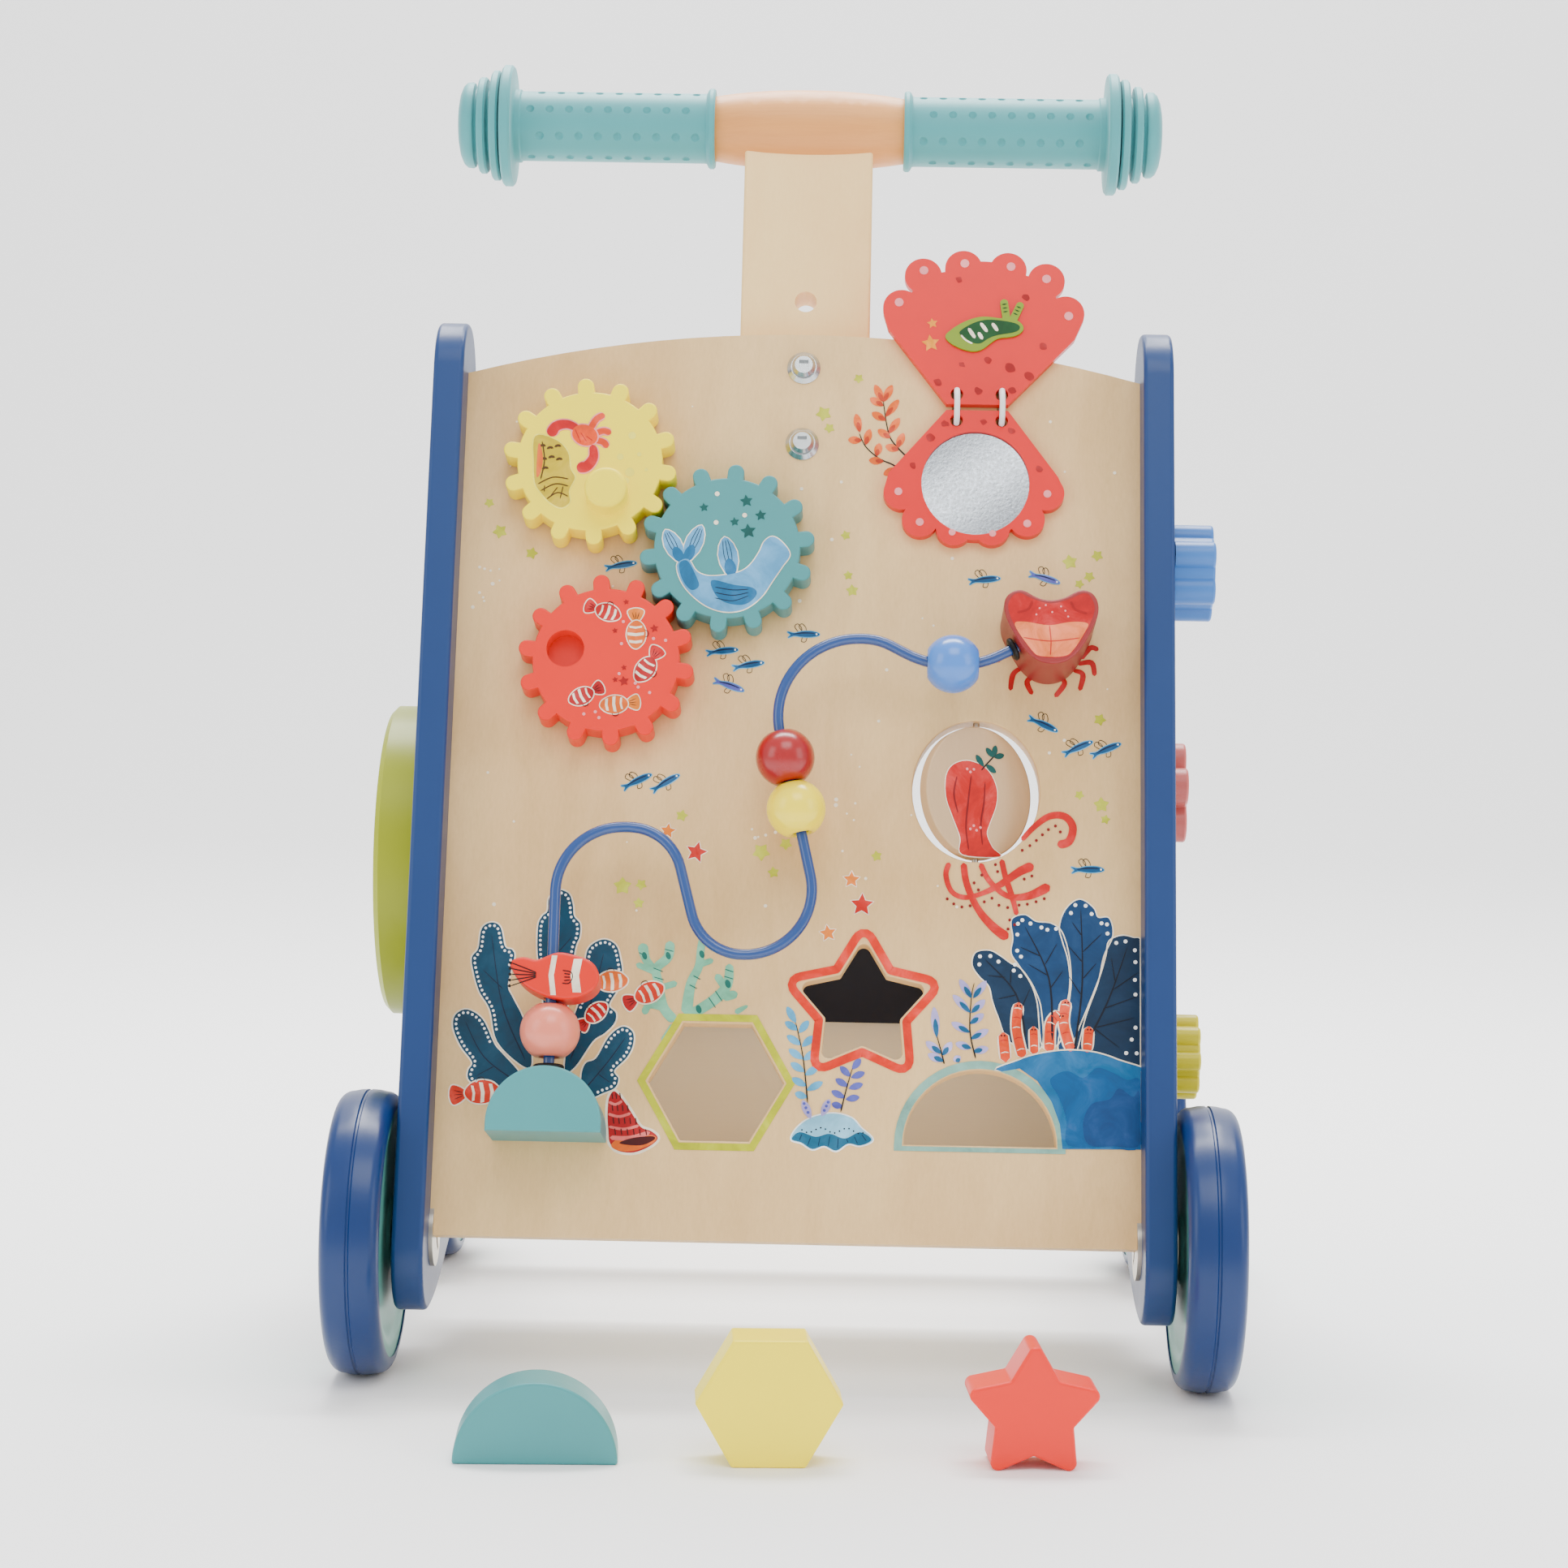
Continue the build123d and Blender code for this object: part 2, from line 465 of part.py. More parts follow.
RED_T, YELLOW_T = 10.0, 29.6
blue = Pos(*valley(0, VALLEY_R - 0.5), WIRE_N) * Rot(0, 0, 90) * bead_solid()
red = Pos(*on_run(RED_T), WIRE_N) * Rot(0, 0, RUN_TILT) * bead_solid()
yellow = Pos(*on_run(YELLOW_T), WIRE_N) * Rot(0, 0, RUN_TILT) * bead_solid()
pink = Pos(STRAIGHT_U, 71.8, WIRE_N) * bead_solid()
save("blue_bead", BOARD * blue)
save("red_bead", BOARD * red)
save("yellow_bead", BOARD * yellow)
save("pink_bead", BOARD * pink)
FISH_V = 90.6
fish_face = make_face(Spline([(-15.6, 3.5), (-10.5, -3.2), (0, -7.8), (9, -7.6), (16.2, -2.0), (15.0, 4.0), (7, 8.0),
                              (0, 8.4), (-6.5, 6.0), (-11.5, 6.8)], periodic=True))
fish = plate(Pos(STRAIGHT_U + 1.0, FISH_V) * fish_face, WIRE_N - 7.5, WIRE_N + 7.5)
fish = soften(fish, 1.2, lambda e: abs(abs(e.center().Z - WIRE_N) - 7.5) < 0.01)
fish -= Pos(STRAIGHT_U, FISH_V, WIRE_N) * Rot(90, 0, 0) * Cylinder(BORE_R - 0.4, 40)
save("fish_bead", BOARD * fish)

# ---- spinning plaque -------------------------------------------------------------------------
PLAQUE_A, PLAQUE_B, PLAQUE_T, PLAQUE_TURN = 22.0, 25.0, 6.0, 26.0
PIN_R, PIN_DEEP = 1.2, 5.0
AXIS_N = -BOARD_T / 2
plaque = extrude(Ellipse(PLAQUE_A, PLAQUE_B), PLAQUE_T / 2, both=True)
plaque = soften(plaque, 0.8)
plaque -= Rot(90, 0, 0) * Cylinder(PIN_R + RUN, 80)
plaque = Pos(OVAL_UV[0], OVAL_UV[1], AXIS_N) * Rot(0, PLAQUE_TURN, 0) * plaque
pin = Pos(OVAL_UV[0], OVAL_UV[1], AXIS_N) * Rot(90, 0, 0) * Cylinder(PIN_R, 2 * (OVAL_B + PIN_DEEP))
save("spin_plaque", BOARD * plaque)
save("plaque_rod", BOARD * pin)
board -= pin

# ---- drum and knobs on the outer faces --------------------------------------------------------
OUT = INNER + PANEL_T
DRUM_T = 16.0
drum_x0, drum_x1 = OUT + 1.5, OUT + 1.5 + DRUM_T
drum = turned_x([(drum_x0, DRUM_R - 1.5), (drum_x0 + 1.5, DRUM_R), (drum_x1 - 2, DRUM_R), (drum_x1, DRUM_R - 2)], DRUM_Y, DRUM_Z, -1)
drum -= rod_x(DRUM_Y, DRUM_Z, AXLE_R + RUN, -130, -170)
drum -= rod_x(DRUM_Y, DRUM_Z, 8.0 + GAP, -(drum_x1 - 4.4), -170)
drum_pin = (rod_x(DRUM_Y, DRUM_Z, AXLE_R, -(INNER + 2), -(drum_x1 - 4.0)) + rod_x(DRUM_Y, DRUM_Z, 8.0, -(drum_x1 - 4.0), -(drum_x1 - 1.0))
            + rod_x(DRUM_Y, DRUM_Z, 10.0, -OUT, -(drum_x0 - GAP)))
save("drum_disc", drum)
save("drum_pin", drum_pin)
panel_left -= rod_x(DRUM_Y, DRUM_Z, AXLE_R, -(INNER + 2), -(OUT + 1))

KNOBS = {"blue_knob": (82.0, 295.2, 18.2, 156.0, 6, 90), "pink_knob": (131.0, 208.0, 20.5, 152.5, 5, 90),
         "yellow_knob": (82.0, 111.0, 16.2, 155.0, 8, 90)}
KNOB_PIN_R = 3.0
pins = []
for node, (y, z, r, x_out, lobes, phase) in KNOBS.items():
    lobe = r * (0.30 if lobes == 6 else 0.36 if lobes == 5 else 0.24)
    face = Circle(r * 0.80 if lobes != 5 else r * 0.62)
    for k in range(lobes):
        a = radians(phase + 360 * k / lobes)
        if lobes == 5:
            arm = Rot(0, 0, degrees(a)) * (Pos((r - lobe) / 2, 0) * Rectangle(r - lobe, 2 * lobe) + Pos(r - lobe, 0) * Circle(lobe))
            face += arm
        else:
            face += Pos((r - lobe) * cos(a), (r - lobe) * sin(a)) * Circle(lobe)
    x0 = OUT + 1.2
    knob = YZ * (Pos(y, z, x0) * extrude(face, x_out - x0))
    knob = soften(knob, 1.2, lambda e: abs(e.center().X - x_out) < 0.01)
    knob -= rod_x(y, z, KNOB_PIN_R + RUN, 130, 170)
    knob -= rod_x(y, z, 6.0 + GAP, x_out - 4.4, 170)
    save(node, knob)
    pin_x = rod_x(y, z, KNOB_PIN_R, INNER + 2, x_out - 4.0) + rod_x(y, z, 6.0, x_out - 4.0, x_out - 1.6)
    pins.append(pin_x + rod_x(y, z, 7.0, OUT, x0 - GAP))
    panel_right -= rod_x(y, z, KNOB_PIN_R, INNER + 2, OUT + 1)
save("knob_pins", *pins)

# ---- screws that hold the frame, then the pieces they go through -----------------------------
screw_places = [board_point(0, v, -BOARD_T / 2)[1:] for v in (70, 250)] + [(108, 70), (108, 150), (60, BIN_Z0 + SHELF_T / 2), (210, 75), (210, 92)]
screws = []
for side in (-1, 1):
    for y, z in screw_places:
        s = rod_x(y, z, 1.8, side * (INNER - 22), side * (OUT - 1)) + rod_x(y, z, 3.6, side * (OUT - 2.4), side * OUT)
        screws.append(s - Pos(side * OUT, y, z) * Box(1.6, 2.4, 2.4))
drives = [Pos(side * OUT, y, z) * Box(1.6, 2.4, 2.4) for side in (-1, 1) for y, z in screw_places]
solid_screws = [rod_x(y, z, 1.8, side * (INNER - 22), side * (OUT - 1)) + rod_x(y, z, 3.6, side * (OUT - 2.4), side * (OUT + 1))
                for side in (-1, 1) for y, z in screw_places]
save("panel_screws", *screws)

board = BOARD * board
for piece in solid_screws:
    panel_left, panel_right = panel_left - piece, panel_right - piece
    board, shelf, back, rail = board - piece, shelf - piece, back - piece, rail - piece
for side, y in ((-1, FRONT_Y), (1, FRONT_Y), (-1, REAR_Y), (1, REAR_Y)):
    hole = rod_x(y, WHEEL_R, INSERT_R, side * (INNER - 1), side * (OUT + 1))
    flange = rod_x(y, WHEEL_R, FLANGE_R, side * (INNER - FLANGE_T), side * INNER)
    panel_left, panel_right = panel_left - hole, panel_right - hole
    board, shelf, rail = board - flange, shelf - flange, rail - flange
save("left_side_panel", panel_left)
save("right_side_panel", panel_right)
save("front_board", board)
save("storage_floor", shelf)
save("storage_back_panel", back)
save("storage_rail", navy)
save("rear_cross_rail", rail)

# ---- sorting blocks, standing on the floor in front -------------------------------------------
BLOCK_T, BLOCK_FIT, BLOCK_TURN = 20.0, 0.5, 3.5


def stand(face, x, y):
    """A block cut from a face, standing upright on the floor with its front face towards -Y."""
    block = soften(extrude(face, BLOCK_T), 1.0)
    block = Rot(90, 0, 0) * block
    low = block.bounding_box().min.Z
    return Pos(x, y, -low) * Rot(0, 0, BLOCK_TURN) * Pos(0, BLOCK_T, 0) * block


save("half_disc_block", stand(half_disc(HALF_R - BLOCK_FIT), -78.4, -116.0))
save("hexagon_block", stand(hexagon(HEX_R - BLOCK_FIT), -2.1, -113.8))
save("star_block", stand(star(STAR_TIP - 0.7, STAR_IN - 0.6, STAR_ROUND), 84.6, -110.0))

# ---- origin: middle of the whole object on the floor, then write every piece -----------------
boxes = [solid.bounding_box() for solids in nodes.values() for solid in solids]
ORIGIN_Y = (min(b.min.Y for b in boxes) + max(b.max.Y for b in boxes)) / 2
for node, solids in nodes.items():
    moved = [Pos(0, -ORIGIN_Y, 0) * solid for solid in solids]
    shape = moved[0] if len(moved) == 1 else Compound(label=node, children=moved)
    shape.label = node
    export_step(shape, f"parts/{node}.step")
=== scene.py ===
import bpy, bmesh, json, random
from math import atan2, cos, degrees, pi, radians, sin
from mathutils import Matrix, Vector


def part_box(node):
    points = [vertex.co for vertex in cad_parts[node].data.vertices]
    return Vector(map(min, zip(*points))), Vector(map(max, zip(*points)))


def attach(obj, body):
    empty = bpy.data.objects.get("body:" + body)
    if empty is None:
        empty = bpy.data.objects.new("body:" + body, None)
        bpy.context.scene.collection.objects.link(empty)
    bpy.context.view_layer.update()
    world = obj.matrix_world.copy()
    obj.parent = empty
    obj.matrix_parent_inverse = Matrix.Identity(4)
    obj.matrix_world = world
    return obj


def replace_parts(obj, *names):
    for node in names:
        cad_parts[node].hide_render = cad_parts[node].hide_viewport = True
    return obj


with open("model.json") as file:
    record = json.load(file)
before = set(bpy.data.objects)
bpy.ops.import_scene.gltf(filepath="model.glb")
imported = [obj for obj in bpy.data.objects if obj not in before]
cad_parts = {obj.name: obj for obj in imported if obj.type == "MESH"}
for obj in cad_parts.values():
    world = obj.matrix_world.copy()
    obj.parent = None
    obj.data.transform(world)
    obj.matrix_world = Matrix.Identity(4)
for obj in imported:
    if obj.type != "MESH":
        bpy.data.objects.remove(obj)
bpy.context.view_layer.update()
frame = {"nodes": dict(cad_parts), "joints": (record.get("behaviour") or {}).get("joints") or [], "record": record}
nodes = frame["nodes"]
joints = {j["name"]: j for j in frame["joints"]}
scene = bpy.context.scene
mm = 0.001
weldDistance, slimmestEdge = 1e-6, 1e-7
creaseDefault, turnedCrease, gripCrease = 35, 40, 38

# where the sloping board is, read from the frame
across = Vector((1, 0, 0))
outward = Vector(joints["yellow_gear_spin"]["axis"])
upSlope = Vector(joints["plaque_spin"]["axis"])
boardThick = 9.0
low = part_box("front_board")[0]
boardFoot = Vector((0, low.y, low.z + boardThick * mm * outward.z))


def onBoard(u, v, n=0.0):
    # a point u across, v up the slope and n out of the board's face, all in millimetres
    return boardFoot + (across * u + upSlope * v + outward * n) * mm


def boardSpot(point):
    # board u, v, n of a point of the frame
    d = (Vector(point) - boardFoot) / mm
    return d.dot(across), d.dot(upSlope), d.dot(outward)


print("frame loaded:", len(nodes), "nodes")


def newObject(name, mesh, body, material=None):
    obj = bpy.data.objects.new(name, mesh)
    scene.collection.objects.link(obj)
    if material:
        mesh.materials.append(material)
    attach(obj, body)
    return obj


def bakedMesh(holder, name):
    # the holder's mesh with its modifiers worked in; the holder goes
    bpy.context.view_layer.update()
    graph = bpy.context.evaluated_depsgraph_get()
    mesh = bpy.data.meshes.new_from_object(holder.evaluated_get(graph), depsgraph=graph)
    bpy.data.objects.remove(holder)
    mesh.name = name
    return mesh


def setInputs(modifier, values):
    # every named input of a Geometry Nodes group, by its socket's identifier
    for item in modifier.node_group.interface.items_tree:
        if item.in_out == "INPUT" and item.socket_type != "NodeSocketGeometry":
            modifier[item.identifier] = values[item.name] if item.name in values else item.default_value


def meshEditor(mesh):
    bm = bmesh.new()
    bm.from_mesh(mesh)
    return bm


def weld(bm):
    bmesh.ops.remove_doubles(bm, verts=bm.verts, dist=weldDistance)
    bmesh.ops.dissolve_degenerate(bm, dist=slimmestEdge, edges=bm.edges)


def crease(bm, angle):
    # smooth faces, with a crease wherever two of them meet at more than the angle
    for f in bm.faces:
        f.smooth = True
    for e in bm.edges:
        e.smooth = len(e.link_faces) == 2 and e.calc_face_angle(0) < radians(angle)


def putBack(bm, mesh):
    bm.to_mesh(mesh)
    bm.free()


def soleMaterial(mesh, material):
    mesh.materials.clear()
    mesh.materials.append(material)
    for poly in mesh.polygons:
        poly.material_index = 0


def cleanCopy(node, name, angle):
    # a merged, smooth copy of a CAD node's loose triangles, which then stands for it
    bm = meshEditor(nodes[node].data)
    weld(bm)
    mesh = bpy.data.meshes.new(name)
    crease(bm, angle)
    putBack(bm, mesh)
    # wide flats keep their own normal up to the rounded edge beside them
    holder = bpy.data.objects.new(name + "Holder", mesh)
    scene.collection.objects.link(holder)
    weigh = holder.modifiers.new("weigh", "WEIGHTED_NORMAL")
    weigh.mode, weigh.weight, weigh.keep_sharp = "FACE_AREA", 50, True
    return bakedMesh(holder, name)


def turnedMesh(name, profile, centre, axis, steps=96, closed=False):
    # revolve (along, radius) pairs about an axis through centre
    axis = Vector(axis).normalized()
    side = Vector((0, 0, 1)) if abs(axis.z) < 0.9 else Vector((0, 1, 0))
    a = axis.cross(side).normalized()
    b = axis.cross(a)
    verts, faces = [], []
    n = len(profile)
    for k in range(steps):
        t = 2 * pi * k / steps
        d = a * cos(t) + b * sin(t)
        verts += [centre + axis * x + d * r for x, r in profile]
    for k in range(steps):
        j = (k + 1) % steps
        for i in range(n - 1 + int(closed)):
            i2 = (i + 1) % n
            faces.append((k * n + i, k * n + i2, j * n + i2, j * n + i))
    mesh = bpy.data.meshes.new(name)
    mesh.from_pydata([tuple(v) for v in verts], [], faces)
    bm = meshEditor(mesh)
    weld(bm)
    bmesh.ops.recalc_face_normals(bm, faces=bm.faces)
    crease(bm, turnedCrease)
    putBack(bm, mesh)
    return mesh


def bend(start, corner, end, steps):
    # a quadratic curve from start to end, drawn towards the corner
    ws = [k / steps for k in range(steps + 1)]
    return [tuple((1 - w) ** 2 * start + 2 * w * (1 - w) * corner + w * w * end) for w in ws]


def rounded(profile, radius, steps=5):
    # round the corners of an (along, radius) profile
    out = [profile[0]]
    for p, q, r in zip(profile, profile[1:], profile[2:]):
        a, b, c = Vector(p), Vector(q), Vector(r)
        t1 = min(radius, (a - b).length * 0.45)
        t2 = min(radius, (c - b).length * 0.45)
        out += bend(b + (a - b).normalized() * t1, b, b + (c - b).normalized() * t2, steps)
    out.append(profile[-1])
    return out


def groupTree(name, inputs, outputs, sort="ShaderNodeTree"):
    tree = bpy.data.node_groups.new(name, sort)
    for label, kind, value in inputs:
        sock = tree.interface.new_socket(label, in_out="INPUT", socket_type=kind)
        if value is not None:
            sock.default_value = value
    for label, kind in outputs:
        tree.interface.new_socket(label, in_out="OUTPUT", socket_type=kind)
    return tree, tree.nodes.new("NodeGroupInput"), tree.nodes.new("NodeGroupOutput")


def mathNode(tree, operation, a, b=None, clamp=False):
    node = tree.nodes.new("ShaderNodeMath")
    node.operation = operation
    node.use_clamp = clamp
    for i, value in enumerate((a, b)):
        if value is None:
            continue
        if isinstance(value, (int, float)):
            node.inputs[i].default_value = value
        else:
            tree.links.new(value, node.inputs[i])
    return node.outputs[0]


def sums(tree):
    # short names for the tree's additions and multiplications
    return (lambda a, b: mathNode(tree, "ADD", a, b)), (lambda a, b: mathNode(tree, "MULTIPLY", a, b))


def stretched(tree, vector, factors):
    node = tree.nodes.new("ShaderNodeVectorMath")
    node.operation = "MULTIPLY"
    node.inputs[1].default_value = factors
    tree.links.new(vector, node.inputs[0])
    return node.outputs[0]


def mixColour(tree, factor, a, b):
    node = tree.nodes.new("ShaderNodeMix")
    node.data_type = "RGBA"
    for sock, value in ((node.inputs[0], factor), (node.inputs[6], a), (node.inputs[7], b)):
        if isinstance(value, (int, float, tuple)):
            sock.default_value = value
        else:
            tree.links.new(value, sock)
    return node.outputs[2]


def noiseNode(tree, vector, scale, detail=3.0, rough=0.5, distort=0.0):
    node = tree.nodes.new("ShaderNodeTexNoise")
    node.inputs["Scale"].default_value = scale
    node.inputs["Detail"].default_value = detail
    node.inputs["Roughness"].default_value = rough
    node.inputs["Distortion"].default_value = distort
    tree.links.new(vector, node.inputs["Vector"])
    return node.outputs["Fac"]


def woodGrainGroup():
    # grain that runs along the group's local X: fine pores, slow bands and a few darker figures
    tree, gin, gout = groupTree(
        "woodGrain",
        [("Vector", "NodeSocketVector", None), ("Light", "NodeSocketColor", (0.8, 0.6, 0.4, 1)),
         ("Dark", "NodeSocketColor", (0.6, 0.4, 0.25, 1)), ("Contrast", "NodeSocketFloat", 0.5)],
        [("Colour", "NodeSocketColor"), ("Height", "NodeSocketFloat"), ("Rough", "NodeSocketFloat")])
    plus, times = sums(tree)
    broad = stretched(tree, gin.outputs["Vector"], (1.0, 9.0, 9.0))
    fine = stretched(tree, gin.outputs["Vector"], (1.0, 42.0, 42.0))
    bands = noiseNode(tree, broad, 7.0, 4.0, 0.55, 0.6)
    pores = noiseNode(tree, fine, 24.0, 3.0, 0.65, 0.1)
    cloud = noiseNode(tree, gin.outputs["Vector"], 9.0, 2.0, 0.5, 0.3)
    wave = tree.nodes.new("ShaderNodeTexWave")
    wave.wave_type, wave.bands_direction = "BANDS", "Y"
    for label, value in (("Scale", 5.0), ("Distortion", 7.0), ("Detail", 2.0), ("Detail Scale", 1.2)):
        wave.inputs[label].default_value = value
    tree.links.new(gin.outputs["Vector"], wave.inputs["Vector"])
    figure = times(mathNode(tree, "POWER", wave.outputs["Fac"], 2.5), 0.34)
    total = plus(times(bands, 0.75), figure)
    total = plus(total, times(pores, 0.4))
    total = plus(total, times(cloud, 0.45))
    total = mathNode(tree, "SUBTRACT", total, 0.62)
    total = mathNode(tree, "MULTIPLY", total, gin.outputs["Contrast"], clamp=True)
    tree.links.new(mixColour(tree, total, gin.outputs["Light"], gin.outputs["Dark"]), gout.inputs["Colour"])
    tree.links.new(plus(times(pores, 0.7), times(bands, 0.3)), gout.inputs["Height"])
    tree.links.new(plus(0.42, times(pores, 0.2)), gout.inputs["Rough"])
    return tree


def paintFilmGroup():
    # sprayed paint over wood: faint mottling, a breath of grain underneath and fine orange peel
    tree, gin, gout = groupTree(
        "paintFilm",
        [("Vector", "NodeSocketVector", None), ("Colour", "NodeSocketColor", (0.5, 0.5, 0.5, 1)),
         ("Mottle", "NodeSocketFloat", 0.06), ("Rough", "NodeSocketFloat", 0.4)],
        [("Colour", "NodeSocketColor"), ("Height", "NodeSocketFloat"), ("Rough", "NodeSocketFloat")])
    plus, times = sums(tree)
    cloud = noiseNode(tree, gin.outputs["Vector"], 28.0, 4.0, 0.6)
    peel = noiseNode(tree, gin.outputs["Vector"], 620.0, 2.0, 0.5)
    under = noiseNode(tree, stretched(tree, gin.outputs["Vector"], (1.0, 1.0, 0.09)), 260.0, 3.0, 0.6)
    swing = mathNode(tree, "SUBTRACT", cloud, 0.5)
    shift = times(swing, gin.outputs["Mottle"])
    value = tree.nodes.new("ShaderNodeHueSaturation")
    tree.links.new(plus(1.0, times(shift, 2.0)), value.inputs["Value"])
    tree.links.new(gin.outputs["Colour"], value.inputs["Color"])
    tree.links.new(value.outputs[0], gout.inputs["Colour"])
    tree.links.new(plus(times(peel, 0.6), times(under, 0.5)), gout.inputs["Height"])
    tree.links.new(plus(gin.outputs["Rough"], times(swing, 0.16)), gout.inputs["Rough"])
    return tree


def watercolourGroup():
    # printed ink with the pooled, cloudy look of a wash
    tree, gin, gout = groupTree(
        "watercolour",
        [("Vector", "NodeSocketVector", None), ("Colour", "NodeSocketColor", (0.5, 0.5, 0.5, 1)),
         ("Depth", "NodeSocketFloat", 0.5)],
        [("Colour", "NodeSocketColor"), ("Height", "NodeSocketFloat")])
    plus, times = sums(tree)
    pool = noiseNode(tree, gin.outputs["Vector"], 75.0, 5.0, 0.62, 0.8)
    speck = noiseNode(tree, gin.outputs["Vector"], 420.0, 2.0, 0.6)
    value = tree.nodes.new("ShaderNodeHueSaturation")
    swing = times(mathNode(tree, "SUBTRACT", pool, 0.5), gin.outputs["Depth"])
    tree.links.new(plus(1.0, times(swing, 2.2)), value.inputs["Value"])
    tree.links.new(plus(1.0, times(swing, -0.5)), value.inputs["Saturation"])
    tree.links.new(gin.outputs["Colour"], value.inputs["Color"])
    tree.links.new(value.outputs[0], gout.inputs["Colour"])
    tree.links.new(speck, gout.inputs["Height"])
    return tree


woodGrain, paintFilm, watercolour = woodGrainGroup(), paintFilmGroup(), watercolourGroup()
paintDepth = 1.6


def linear(colour):
    # eye colour, 0 to 255, to linear; mixed a little deeper, since the soft view transform lightens mid tones
    out = []
    for c in colour:
        c /= 255
        out.append((c / 12.92 if c <= 0.04045 else ((c + 0.055) / 1.055) ** 2.4) ** paintDepth)
    return tuple(out) + (1.0,)


def startMaterial(name):
    mat = bpy.data.materials.new(name)
    mat.use_nodes = True
    tree = mat.node_tree
    return mat, tree, tree.nodes["Principled BSDF"]


def bumpInto(tree, shader, height, strength, distance):
    bump = tree.nodes.new("ShaderNodeBump")
    bump.inputs["Strength"].default_value = strength
    bump.inputs["Distance"].default_value = distance
    tree.links.new(height, bump.inputs["Height"])
    tree.links.new(bump.outputs[0], shader.inputs["Normal"])


def objectVector(tree, turn=(0, 0, 0), shift=(0, 0, 0)):
    coord = tree.nodes.new("ShaderNodeTexCoord")
    mapping = tree.nodes.new("ShaderNodeMapping")
    mapping.inputs["Rotation"].default_value = turn
    mapping.inputs["Location"].default_value = shift
    tree.links.new(coord.outputs["Object"], mapping.inputs["Vector"])
    return mapping.outputs[0]


def useGroup(tree, group, **values):
    node = tree.nodes.new("ShaderNodeGroup")
    node.node_tree = group
    for label, value in values.items():
        if hasattr(value, "is_linked"):
            tree.links.new(value, node.inputs[label])
        else:
            node.inputs[label].default_value = value
    return node


def woodMaterial(name, look):
    mat, tree, shader = startMaterial(name)
    vector = objectVector(tree, look.get("turn", (0, 0, 0)), look.get("shift", (0, 0, 0)))
    group = useGroup(tree, woodGrain, Vector=vector, Light=linear(look["light"]), Dark=linear(look["dark"]),
                     Contrast=look.get("contrast", 0.6))
    tree.links.new(group.outputs["Colour"], shader.inputs["Base Color"])
    tree.links.new(group.outputs["Rough"], shader.inputs["Roughness"])
    shader.inputs["Coat Weight"].default_value = look.get("coat", 0.12)
    shader.inputs["Coat Roughness"].default_value = 0.3
    bumpInto(tree, shader, group.outputs["Height"], 0.25, 0.0003)
    return mat


def paintMaterial(name, look):
    mat, tree, shader = startMaterial(name)
    group = useGroup(tree, paintFilm, Vector=objectVector(tree), Colour=linear(look["colour"]),
                     Mottle=look.get("mottle", 0.05), Rough=look.get("rough", 0.38))
    tree.links.new(group.outputs["Colour"], shader.inputs["Base Color"])
    tree.links.new(group.outputs["Rough"], shader.inputs["Roughness"])
    shader.inputs["Specular IOR Level"].default_value = look.get("shine", 0.32)
    shader.inputs["Coat Weight"].default_value = look.get("coat", 0.08)
    shader.inputs["Coat Roughness"].default_value = 0.22
    bumpInto(tree, shader, group.outputs["Height"], look.get("bump", 0.12), 0.0003)
    return mat


def metalMaterial(name, look):
    mat, tree, shader = startMaterial(name)
    streak = noiseNode(tree, objectVector(tree), 900.0, 2.0, 0.5)
    shader.inputs["Base Color"].default_value = linear(look["colour"])
    shader.inputs["Metallic"].default_value = 1.0
    plus, times = sums(tree)
    tree.links.new(plus(look["rough"], times(streak, 0.12)), shader.inputs["Roughness"])
    bumpInto(tree, shader, streak, 0.08, 0.0001)
    return mat


def rubberMaterial(name, look):
    mat, tree, shader = startMaterial(name)
    vector = objectVector(tree)
    fine = noiseNode(tree, vector, 1500.0, 2.0, 0.5)
    cloud = noiseNode(tree, vector, 60.0, 3.0, 0.5)
    hue = tree.nodes.new("ShaderNodeHueSaturation")
    hue.inputs["Color"].default_value = linear(look["colour"])
    plus, times = sums(tree)
    tree.links.new(plus(0.97, times(cloud, 0.06)), hue.inputs["Value"])
    tree.links.new(hue.outputs[0], shader.inputs["Base Color"])
    tree.links.new(plus(look["rough"], times(fine, 0.12)), shader.inputs["Roughness"])
    shader.inputs["Sheen Weight"].default_value = 0.15
    shader.inputs["Subsurface Weight"].default_value = 0.03
    shader.inputs["Subsurface Radius"].default_value = (0.002, 0.002, 0.002)
    bumpInto(tree, shader, fine, 0.1, 0.0001)
    return mat


def inkMaterial(name, look):
    # the colour comes from each print's own attribute
    mat, tree, shader = startMaterial(name)
    attribute = tree.nodes.new("ShaderNodeAttribute")
    attribute.attribute_name = "inkColour"
    group = useGroup(tree, watercolour, Vector=objectVector(tree), Colour=attribute.outputs["Color"],
                     Depth=look["depth"])
    tree.links.new(group.outputs["Colour"], shader.inputs["Base Color"])
    shader.inputs["Roughness"].default_value = look["rough"]
    shader.inputs["Specular IOR Level"].default_value = 0.3
    bumpInto(tree, shader, group.outputs["Height"], 0.1, 0.0001)
    return mat


